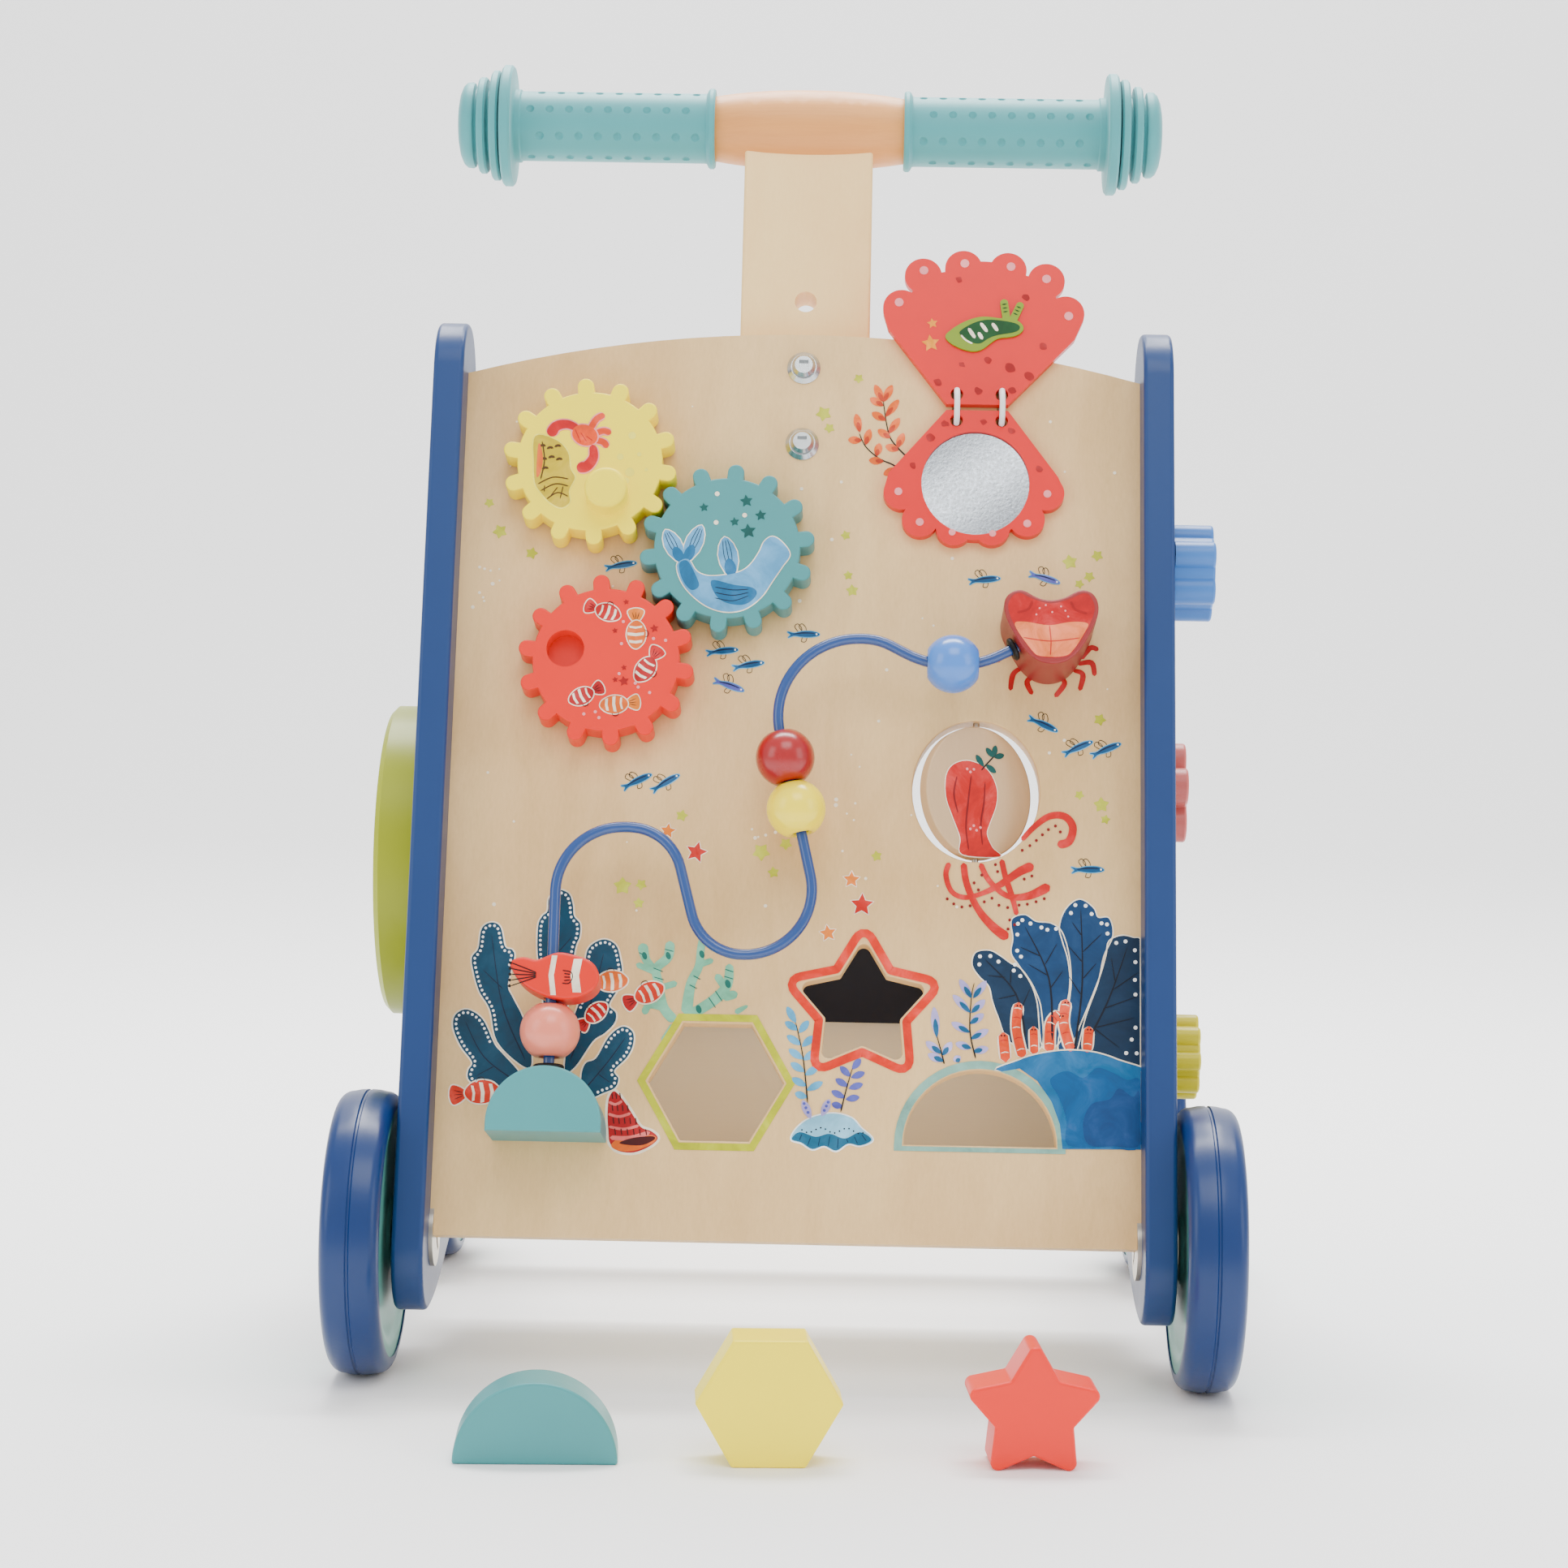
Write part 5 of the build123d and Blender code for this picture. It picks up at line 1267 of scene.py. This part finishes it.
# legs printed below the block that holds the wire's top end
for line in (
        [(81, 222.6), (77.4, 221.6), (74.6, 217.2)], [(84, 215.4), (80.6, 212.6), (79.6, 206.4)],
        [(89, 212.6), (85.8, 209.8), (87.8, 205)], [(106, 219), (109.4, 223.4), (112.4, 222.6)],
        [(103, 214.6), (106.6, 213), (105.4, 206.8)], [(98, 212), (99.8, 209.4), (96.2, 204.2)],
        [(104.6, 217), (109.8, 217.6), (111, 212.6)]):
    stroke(boardArt, line, (1.5, 2.1, 1.7), "leg", 1)
print("board printed")

# gears
yellowArt = newSheet("yellowGearPrint", "yellow_gear", "yellow_paint", 13.0)
gearShell = smoothLoop([(-100.2, 298.6), (-92.4, 297.1), (-87.8, 292.4), (-86.6, 285.9), (-84.8, 282.4),
  (-86.8, 277.4), (-86.4, 272.8), (-89.6, 270.6), (-94, 272.8), (-97.2, 276.3), (-99.6, 280.1),
  (-100.4, 288.4)])
patch(yellowArt, gearShell, "shellYellow", 0.5, "bubble", 1)
for k in range(7):
    u, v = -97.4 + 2.9 * (k % 3) + (k // 3) * 0.7, 294.6 - 4.4 * (k // 3) - 0.8 * (k % 2)
    stroke(yellowArt, [(u - 1.2, v - 0.3), (u, v + 0.4), (u + 1.3, v)], 1.0, "shellBrown", 2, 2)
for line in (
        [(-98.6, 279.6), (-93, 282.4), (-87, 281.8)], [(-97.6, 296.6), (-96.4, 289), (-97.6, 281.4)],
        [(-97.4, 277), (-92, 279.8), (-87, 279)], [(-95, 273.8), (-91, 276.4), (-87, 275)]):
    stroke(yellowArt, line, 0.5, "shellBrown", 2)
for a, b in (((-91, 278.6), (-93.6, 275)), ((-89, 279), (-90, 274)), ((-96, 279.2), (-96, 276.6))):
    stroke(yellowArt, [a, b], 0.4, "shellBrown", 2)
fill(yellowArt, smoothLoop([(-99, 295), (-97.8, 294), (-97, 289), (-97.8, 284), (-99.2, 283)]), "fishOrange", 2)
for line, width, colour in (
        ([(-94.6, 298.6), (-92.6, 302.4), (-88.4, 303.4), (-84, 301.6)], (4.4, 3.6, 2.6), "coralRed"),
        ([(-78.6, 295.4), (-78, 290.6), (-80.6, 286.8), (-84.2, 286.6)], (2.6, 3.8, 4.4), "coralRed"),
        ([(-79.6, 301.6), (-77.4, 305.6), (-74.4, 307.4)], 2.4, "tube"),
        ([(-78, 299.6), (-74.6, 301), (-71.8, 300)], 2.4, "tube"),
        ([(-78.4, 297.4), (-74.6, 296.6), (-73, 294.4)], 2.4, "tube")):
    stroke(yellowArt, line, tuple(w + 1.0 for w in width) if isinstance(width, tuple) else width + 1.0,
           "dotPink", 2)
    stroke(yellowArt, line, width, colour, 3)
patch(yellowArt, ring(-81.6, 299.2, 5.0, 4.0, -25), "coralOrange", 0.5, "dotPink", 4)
for k in range(3):
    stroke(yellowArt, [(-85.4 + 2.2 * k, 301.6 - 1.4 * k), (-83 + 2.2 * k, 296.2 + 0.4 * k)], 0.35, "tubeRed",
           5)
for u, v, r in ((-63.8, 299.4, 1.5), (-60.9, 292, 0.9), (-68, 290.9, 1.3), (-64.2, 284.9, 1.8),
                (-65.4, 281.6, 1.2), (-58, 286, 0.7)):
    dot(yellowArt, u, v, r, "bubble", 0)

tealArt = newSheet("tealGearPrint", "teal_gear", "teal_paint", 13.0)
whale = smoothLoop([(-45.3, 249.4), (-44.2, 243.8), (-40.5, 238.4), (-34.2, 233.4), (-27.1, 231.2),
  (-20, 232.3), (-13.9, 237), (-9.7, 243.5), (-6.2, 249.1), (-3.5, 253.8), (-6.4, 258.4), (-10.1, 260.6),
  (-13.1, 258.6), (-14.9, 254.5), (-17.8, 249.9), (-21.3, 247), (-26.5, 245.5), (-33.6, 244.9), (-38.1, 246.7),
  (-41.4, 251.3)])
for base, tip, w in (((-43.2, 249.4), (-50.2, 262.6), 6.4), ((-42.6, 249.4), (-36.6, 264.6), 6.4),
                     ((-24.6, 243.6), (-28, 260.2), 7.2)):
    loop = leafShape(base, tip, w)
    patch(tealArt, loop, "whale", 0.4, "cream", 2)
    a, b = Vector(base), Vector(tip)
    side = Vector((-(b - a).y, (b - a).x)).normalized() * w * 0.2
    for k in (-1, 0, 1):
        stroke(tealArt, [tuple(a.lerp(b, 0.2) + side * k * 0.4), tuple(a.lerp(b, 0.6) + side * k),
                         tuple(a.lerp(b, 0.92) + side * k * 0.6)], 0.24, "line", 3)
    fill(tealArt, leafShape(base, tuple(a.lerp(b, 0.5)), w * 0.6), "whaleDeep", 3)
patch(tealArt, whale, "whale", 0.4, "cream", 3)
fill(tealArt, smoothLoop([(-44.6, 249.4), (-43.4, 243.6), (-40, 239.4), (-37, 241), (-38.6, 245.6),
                          (-41.6, 250.6)]), "whaleDeep", 4)
fill(tealArt, smoothLoop([(-32.4, 243.2), (-30.6, 237.4), (-26, 234.4), (-19.6, 234.2), (-15.6, 237.8),
                          (-17, 240.6), (-24, 241.6)]), "whaleDeep", 4)
for dv in (0, -2.1, -4.2):
    stroke(tealArt, [(-31, 240.6 + dv), (-24.4, 239.6 + dv), (-18.4, 240 + dv * 0.6)], 0.3, "line", 5)
for u, v, r in ((-36, 271.6, 1.8), (-20.2, 274.4, 2.5), (-14.7, 268.9, 2.2), (-24.4, 266.2, 1.8),
                (-19.2, 262.6, 3.0)):
    fill(tealArt, starShape(u, v, r, 8, 0.5), "starTeal", 1)
for u, v in ((-31.2, 277), (-20.7, 268.8), (-31.3, 265.8)):
    dot(tealArt, u, v, 0.9, "cream", 1)

coralArt = newSheet("coralGearPrint", "coral_gear", "coral_paint", 13.0)
for tail, nose, colour, fin in (((-78.9, 232.9), (-66.0, 228.5), "fishRed", "coralRed"),
                                ((-60.2, 231.6), (-59.8, 216.5), "fishOrange", "orange"),
                                ((-51, 216.8), (-59, 204.1), "coneRed", "coralRed"),
                                ((-71.5, 201.8), (-83.6, 195.8), "coneRed", "coneRed"),
                                ((-57.8, 196.1), (-72.2, 194.5), "fishOrange", "orange")):
    bandedFish(coralArt, tail, nose, colour, fin, 1, 0.4)
for u, v, r in ((-63.9, 234.3, 1.1), (-67.7, 223.2, 1.1), (-53.1, 224.3, 1.6), (-63.9, 209.1, 1.1),
                (-67, 204.4, 1.1), (-63.8, 203.9, 2.0)):
    fill(coralArt, starShape(u, v, r, 10, 0.5), "starRed", 1)
for u, v in (
        (-64.7, 226.7), (-65.1, 218.2), (-53.3, 220.4), (-48.8, 219.8), (-65.6, 206.7), (-59.5, 203.2),
        (-58.4, 201.7), (-54.1, 199.7), (-78.1, 191.1), (-73.9, 192), (-72.5, 189.8)):
    dot(coralArt, u, v, 0.6, "dotPink", 1)
print("gears printed")

# mirror shell: lid and plate


def freckle(sheet, u, v, r):
    outline = ring(u, v, r, r * 1.25, 60, 8)
    uneven = [(p[0] + rng.uniform(-0.3, 0.3), p[1] + rng.uniform(-0.3, 0.3)) for p in outline]
    fill(sheet, smoothLoop(uneven, 3), "freckle", 0)


lidArt = newSheet("lidPrint", "shell_lid", "shell_red", 4.0)
plateArt = newSheet("platePrint", "walker", "shell_red", 4.0)
for u, v in ((35.9, 357.8), (45.2, 370.9), (60.8, 374), (78.5, 373), (92.1, 368.2), (100.6, 353.3)):
    dot(lidArt, u, v, 1.7, "dotPink", 1)
for u, v in ((36.7, 282.1), (44.9, 270.2), (57.1, 266.4), (72.3, 266.2), (85.3, 270.3), (92.8, 282.1)):
    dot(plateArt, u, v, 1.5 if abs(u - 65) > 12 else 1.3, "dotPink", 1)
for u, v, r in (
        (78.4, 332.1, 1.7), (85.7, 328.7, 1.6), (79.1, 322.9, 1.3), (51, 325.9, 1.2), (66.4, 322.6, 1.4),
        (84.2, 360.6, 1.2), (91, 340.8, 1.3), (58.6, 367.4, 1.0), (70, 335, 1.2), (60, 333, 1.0)):
    freckle(lidArt, u, v, r)
for u, v, r in ((53.9, 309.4, 1.2), (68.5, 310.3, 1.0), (48.6, 303.6, 1.4), (79, 307.0, 1.2), (42, 292.5, 1.1),
                (89.6, 291.8, 1.1)):
    freckle(plateArt, u, v, r)
fill(lidArt, starShape(48.7, 349.5, 2.1, 10, 0.5), "shellStar", 1)
fill(lidArt, starShape(48.1, 341.4, 3.5, 8, 0.5), "shellStar", 1)
slugArt = newSheet("slugPrint", "shell_lid", "slug_green", 5.0)
fill(
    slugArt,
    smoothLoop([(59, 345.8), (64.1, 349.4), (69.4, 350.9), (75.5, 350.6), (80.4, 349.6), (82, 348),
      (80.2, 346.2), (74, 344.9), (70.4, 343.6), (67, 341.4), (64, 341.6), (61.4, 343.4)]),
    "slug", 0)
for a, b in (((62.4, 347.4), (65, 343.4)), ((67, 349.6), (69.6, 346)), ((66.2, 345.8), (67.8, 343)),
             ((71.4, 349.6), (73.6, 346.4))):
    stroke(slugArt, [a, b], (1.1, 1.5, 1.1), "cream", 1)
stroke(slugArt, [(59.6, 344.6), (61.4, 342.6), (64, 341.2)], 0.6, "cream", 1)
for u, v, turn in ((76.2, 355.8, 98), (80.9, 354.8, 66)):
    for k in (-1, 0, 1):
        x, y = u + cos(radians(turn)) * k * 1.5, v + sin(radians(turn)) * k * 1.5
        s = Vector((-sin(radians(turn)), cos(radians(turn)))) * 0.9
        stroke(slugArt, [(x - s.x, y - s.y), (x + s.x, y + s.y)], 0.5, "slug", 1, 2)

# wire top block: dark shell above and banded peach below
blockArt = newSheet("topBlockPrint", "walker", "crab_red", 30.0)
topEdge = [
    (75.7, 231.6), (78.1, 235.8), (81.8, 236.9), (86.2, 234.9), (92.7, 233.2), (99.2, 235.0), (104.2, 237.2),
    (107.9, 236.0), (110.2, 230.2), (107.8, 222.4), (102.6, 213.6), (98.4, 210.2), (88.6, 210.0), (84.2, 213.2),
    (79.2, 220.8), (76.4, 226.4)]
blockLoop = grow(smoothLoop(topEdge), -1.5)
fill(blockArt, blockLoop, "fishRed", 0)
fill(
    blockArt,
    smoothLoop([(79.6, 223.2), (83, 224.6), (92, 223.4), (100, 224.8), (106, 224.4), (105.4, 221.6),
      (101.2, 214.6), (97.6, 211.9), (89.2, 211.7), (85.6, 214.2)], 6),
    "peach", 1)
for line in ([(82.6, 218.6), (92.6, 217.4), (103.4, 218.8)], [(92.2, 223.4), (92.8, 217.6), (92.6, 212)]):
    stroke(blockArt, line, 0.4, "tubeRed", 2)
for line in ([(86, 232.6), (84.4, 229.4), (80.4, 228)], [(100, 232.6), (101.6, 229.6), (106, 228)]):
    stroke(blockArt, line, 0.9, "freckle", 1)
for u, v in ((88.6, 229.8), (90.8, 231), (96.4, 230.6), (98, 229), (93.2, 228.4), (87.4, 227.4), (99, 226.8)):
    dot(blockArt, u, v, 0.35, "dotPink", 1)

# striped fish bead: the front face's print
fishLow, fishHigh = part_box("fish_bead")
fishCentre = boardSpot((fishLow + fishHigh) / 2)
fishArt = newSheet("fishPrint", "fish_bead", "fish_orange", 27.5)
fu, fv = fishCentre[:2]
for dx, h, w in ((0.2, 7.2, 1.2), (8.8, 6.1, 1.9)):
    rims = [[(fu + dx + x, fv - h), (fu + dx + x - 1.0, fv), (fu + dx + x, fv + h)] for x in (-w, w * 0.6)]
    strip(fishArt, *rims, "cream", 1)
for k in range(-2, 3):
    stroke(fishArt, [(fu - 15.4, fv + 2.1 * k), (fu - 10, fv + 1.1 * k), (fu - 6.4, fv + 0.4 * k)], 0.4, "line",
           1)
    dot(fishArt, fu - 15.8, fv + 2.1 * k, 0.55, "line", 2)
for k in (-1, 0, 1):
    stroke(fishArt, [(fu + 3.6, fv + 1.3 * k - 0.6), (fu + 5.8, fv + 1.0 * k - 0.6)], 0.35, "line", 1)
stroke(fishArt, [(fu + 3.0, fv + 1.8), (fu + 6.0, fv + 1.2), (fu + 6.6, fv - 0.8), (fu + 5.4, fv - 2.8),
                 (fu + 3.0, fv - 2.8)], 0.35, "line", 1)
print("shell, blocks and fish printed")

# turning plaque: its printed face is found from the CAD piece's own widest flat
plaqueMesh = nodes["spin_plaque"].data
plaqueMatrix = nodes["spin_plaque"].matrix_world
facing = {}
for poly in plaqueMesh.polygons:
    n = (plaqueMatrix.to_3x3() @ poly.normal).normalized()
    if n.dot(outward) > 0.5:
        key = (round(n.x, 2), round(n.y, 2), round(n.z, 2))
        facing[key] = facing.get(key, 0) + poly.area
faceNormal = Vector(max(facing, key=facing.get)).normalized()
faceNormal = (faceNormal - upSlope * faceNormal.dot(upSlope)).normalized()
faceAcross = upSlope.cross(faceNormal).normalized()
plaqueCentre = Vector(joints["plaque_spin"]["pos_m"])
reach = max((plaqueMatrix @ v.co - plaqueCentre).dot(faceNormal) for v in plaqueMesh.vertices)
ovalV = boardSpot((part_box("spin_plaque")[0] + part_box("spin_plaque")[1]) / 2)[1]
onFace = plaqueCentre + upSlope * (ovalV * mm - (plaqueCentre - boardFoot).dot(upSlope)) + faceNormal * reach
plaqueFace = drawnOn(faceAcross, upSlope, faceNormal, onFace)
plaqueArt = newSheet("plaquePrint", "spin_plaque", "board_wood", 0.0, plaqueFace)
bulb = smoothLoop([(-7.0, -24.3), (-7.9, -18), (-11.4, -10), (-14.0, -3.3), (-14.0, 4.7), (-10.8, 9.4),
  (-4.4, 11.4), (3.0, 9.0), (7.0, 2.8), (7.0, -4), (4.5, -10.9), (3.2, -15.5), (5.6, -20.4), (8.6, -23.4)])
patch(plaqueArt, bulb, "arm", 0.35, "cream", 1)
for line in ([(-4.4, -22.4), (-5.6, -14), (-4.8, -4), (-3.6, 6)], [(1.4, -20), (0.6, -12), (1.8, -4), (2.2, 4)],
             [(-9, -9), (-10.8, -2), (-9.6, 5)]):
    stroke(plaqueArt, line, (0.5, 0.8, 0.5), "armDark", 2)
for u, v in ((-2.4, -13), (-1.2, -14.6), (-3.8, -14.4), (0.4, -13.4), (-4, 7.2), (-2.6, 8.4), (-5.4, 8.2)):
    dot(plaqueArt, u, v, 0.5, "dotPink", 2)
stroke(plaqueArt, [(0.6, 8.4), (3.4, 11.6), (5.8, 14.2)], 0.5, "line", 2)
for a, b in (((5.6, 14), (2.6, 17.2)), ((5.8, 14.2), (6.6, 18.6)), ((6, 14), (10.2, 15.4)),
             ((2.6, 10.8), (6.8, 8.2)), ((1.6, 9.8), (-1.6, 14))):
    fill(plaqueArt, leafShape(a, b, 2.2), "starTeal", 3)
print("plaque printed, face turned", round(degrees(faceNormal.angle(outward)), 1))


def dotTree():
    # a small flat disc on every point, as wide as the point's own size
    wants = [
        ("Geometry", "NodeSocketGeometry", None), ("Sides", "NodeSocketInt", 12),
        ("Thickness", "NodeSocketFloat", 1.0), ("Material", "NodeSocketMaterial", None)]
    tree, gin, gout = groupTree("printDots", wants, [("Geometry", "NodeSocketGeometry")], "GeometryNodeTree")
    add, link = tree.nodes.new, tree.links.new
    cyl = add("GeometryNodeMeshCylinder")
    cyl.inputs["Radius"].default_value = 1.0
    link(gin.outputs["Sides"], cyl.inputs["Vertices"])
    link(gin.outputs["Thickness"], cyl.inputs["Depth"])
    points = add("GeometryNodeMeshToPoints")
    link(gin.outputs["Geometry"], points.inputs["Mesh"])
    size = add("GeometryNodeInputNamedAttribute")
    size.data_type = "FLOAT_VECTOR"
    size.inputs["Name"].default_value = "dotSize"
    repeatShape(tree, points.outputs[0], cyl.outputs["Mesh"], gin, gout, size.outputs["Attribute"])
    return tree


printDots = dotTree()


def finishSheet(sheet):
    mesh = bpy.data.meshes.new(sheet["name"])
    mesh.from_pydata(sheet["verts"], [], sheet["faces"])
    ink = mesh.color_attributes.new("inkColour", "FLOAT_COLOR", "CORNER")
    for poly, colour in zip(mesh.polygons, sheet["inks"]):
        value = linear(inkColours[colour])
        for i in poly.loop_indices:
            ink.data[i].color = value
    bm = meshEditor(mesh)
    bmesh.ops.recalc_face_normals(bm, faces=bm.faces)
    bmesh.ops.triangulate(bm, faces=[f for f in bm.faces if len(f.verts) > 4])
    putBack(bm, mesh)
    mesh.transform(sheet["matrix"])
    if sheet["faces"]:
        newObject(sheet["name"], mesh, sheet["body"], mats["wash"])
    if not sheet["dots"]:
        return
    seeds = bpy.data.meshes.new(sheet["name"] + "Seeds")
    foot = sheet["base"] + film["dotUnder"]
    tops = [sheet["base"] + film["top"] + film["layer"] * dot[-1] + film["dotTop"] for dot in sheet["dots"]]
    seeds.from_pydata([(u, v, (foot + top) / 2) for (u, v, *_), top in zip(sheet["dots"], tops)], [], [])
    seeds.attributes.new("dotSize", "FLOAT_VECTOR", "POINT")
    seeds.attributes.new("inkColour", "FLOAT_COLOR", "POINT")
    sizes, inks = seeds.attributes["dotSize"], seeds.attributes["inkColour"]
    for i, ((_, _, r, colour, _), top) in enumerate(zip(sheet["dots"], tops)):
        sizes.data[i].vector = (r, r, top - foot)
        inks.data[i].color = linear(inkColours[colour])
    dots = runTree(printDots, sheet["name"] + "Dots", {"Material": mats["ink"]}, seeds)
    print(sheet["name"], "dots", len(sheet["dots"]), "faces", len(dots.polygons))
    dots.transform(sheet["matrix"])
    newObject(dots.name, dots, sheet["body"])


for sheet in sheets:
    finishSheet(sheet)
print("sheets finished:", len(sheets))


camera = bpy.data.objects.new("camera", bpy.data.cameras.new("camera"))
scene.collection.objects.link(camera)
scene.camera = camera
shot = {
    "at": (0.019005, -1.274629, 0.286912), "yaw": 0.018475, "pitch": 0.058236, "roll": 0.017549, "lens": 77.096,
    "sensor": 36.0}
yaw, pitch, roll = shot["yaw"], shot["pitch"], shot["roll"]
forward = Vector((-sin(yaw) * cos(pitch), cos(yaw) * cos(pitch), -sin(pitch)))
right0 = Vector((cos(yaw), sin(yaw), 0))
up0 = right0.cross(forward)
rightAxis, upAxis = right0 * cos(roll) + up0 * sin(roll), up0 * cos(roll) - right0 * sin(roll)
look = Matrix((rightAxis, upAxis, -forward)).transposed().to_4x4()
camera.matrix_world = Matrix.Translation(Vector(shot["at"])) @ look
camera.data.lens, camera.data.sensor_width = shot["lens"], shot["sensor"]

# a paper sweep: floor, bend and wall in one
sweep = {"near": -4.0, "bendAt": 2.4, "round": 1.2, "top": 6.0, "half": 5, "grey": 0.96}
bends = [radians(a) for a in range(0, 91, 6)]
arc = [(sweep["round"] * sin(t), sweep["round"] - sweep["round"] * cos(t)) for t in bends]
sweepLine = [(sweep["near"], 0.0)] + [(sweep["bendAt"] + y, z) for y, z in arc]
sweepLine.append((sweep["bendAt"] + sweep["round"], sweep["top"]))
floorMesh = bpy.data.meshes.new("floor")
floorMesh.from_pydata([(x, y, z) for y, z in sweepLine for x in (-sweep["half"], sweep["half"])], [],
                      [(2 * i, 2 * i + 1, 2 * i + 3, 2 * i + 2) for i in range(len(sweepLine) - 1)])
for poly in floorMesh.polygons:
    poly.use_smooth = True
floorMat, _, floorShader = startMaterial("floorPaper")
floorShader.inputs["Base Color"].default_value = (*[sweep["grey"]] * 3, 1)
floorShader.inputs["Roughness"].default_value = 0.9
floorShader.inputs["Specular IOR Level"].default_value = 0.1
floorMesh.materials.append(floorMat)
floor = bpy.data.objects.new("floor", floorMesh)
scene.collection.objects.link(floor)

world = bpy.data.worlds.new("studio")
scene.world = world
world.use_nodes = True
background = world.node_tree.nodes["Background"]
background.inputs["Color"].default_value = (1.0, 1.0, 1.0, 1)
background.inputs["Strength"].default_value = 1.1


def softBox(name, at, target, size, power):
    light = bpy.data.lights.new(name, "AREA")
    light.shape, light.size, light.size_y, light.energy = "RECTANGLE", *size, power
    obj = bpy.data.objects.new(name, light)
    scene.collection.objects.link(obj)
    obj.location = at
    obj.rotation_euler = (Vector(target) - Vector(at)).to_track_quat("-Z", "Y").to_euler()
    return obj


# name, place, aim, size and power
for lamp in (
        ("keyBox", (0.15, -1.2, 1.9), (0, 0, 0.2), (1.2, 0.9), 17),
        ("leftBox", (-1.5, -1.0, 0.9), (0, 0, 0.25), (0.8, 1.2), 8),
        ("rightBox", (1.6, -0.9, 0.8), (0, 0, 0.25), (0.8, 1.2), 7),
        ("topBox", (0.0, 0.62, 1.5), (0, -0.01, 0.1), (1.0, 0.7), 40),
        ("paperBox", (0.0, 0.9, 3.4), (0, 3.4, 0.9), (3.0, 1.0), 150)):
    softBox(*lamp)

# two narrow strips that the mirror throws back as a slanting gleam
mirrorLow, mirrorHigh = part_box("shell_mirror")
mirrorAt = (mirrorLow + mirrorHigh) / 2
toMirror = (mirrorAt - Vector(shot["at"])).normalized()
bounce = (toMirror - outward * 2 * toMirror.dot(outward)).normalized()
upThere = (Vector((0, 0, 1)) - outward * 2 * outward.z).normalized()
gleam = {"slant": radians(34), "length": 0.34}
slant = (across * cos(gleam["slant"]) + upThere * sin(gleam["slant"])).normalized()
sideways = bounce.cross(slant).normalized()
along = sideways.cross(bounce).normalized()
for name, distance, width, shift, power in (("gleamWide", 2.0, 0.055, 0.0, 0.16),
                                            ("gleamThin", 1.9, 0.02, 0.004, 0.2)):
    lamp = softBox(name, (0, 0, 0), (0, 1, 0), (gleam["length"], width), power)
    lamp.rotation_euler = Matrix((along, sideways, bounce)).transposed().to_euler()
    lamp.location = mirrorAt + bounce * distance + sideways * shift
print("camera and light set")
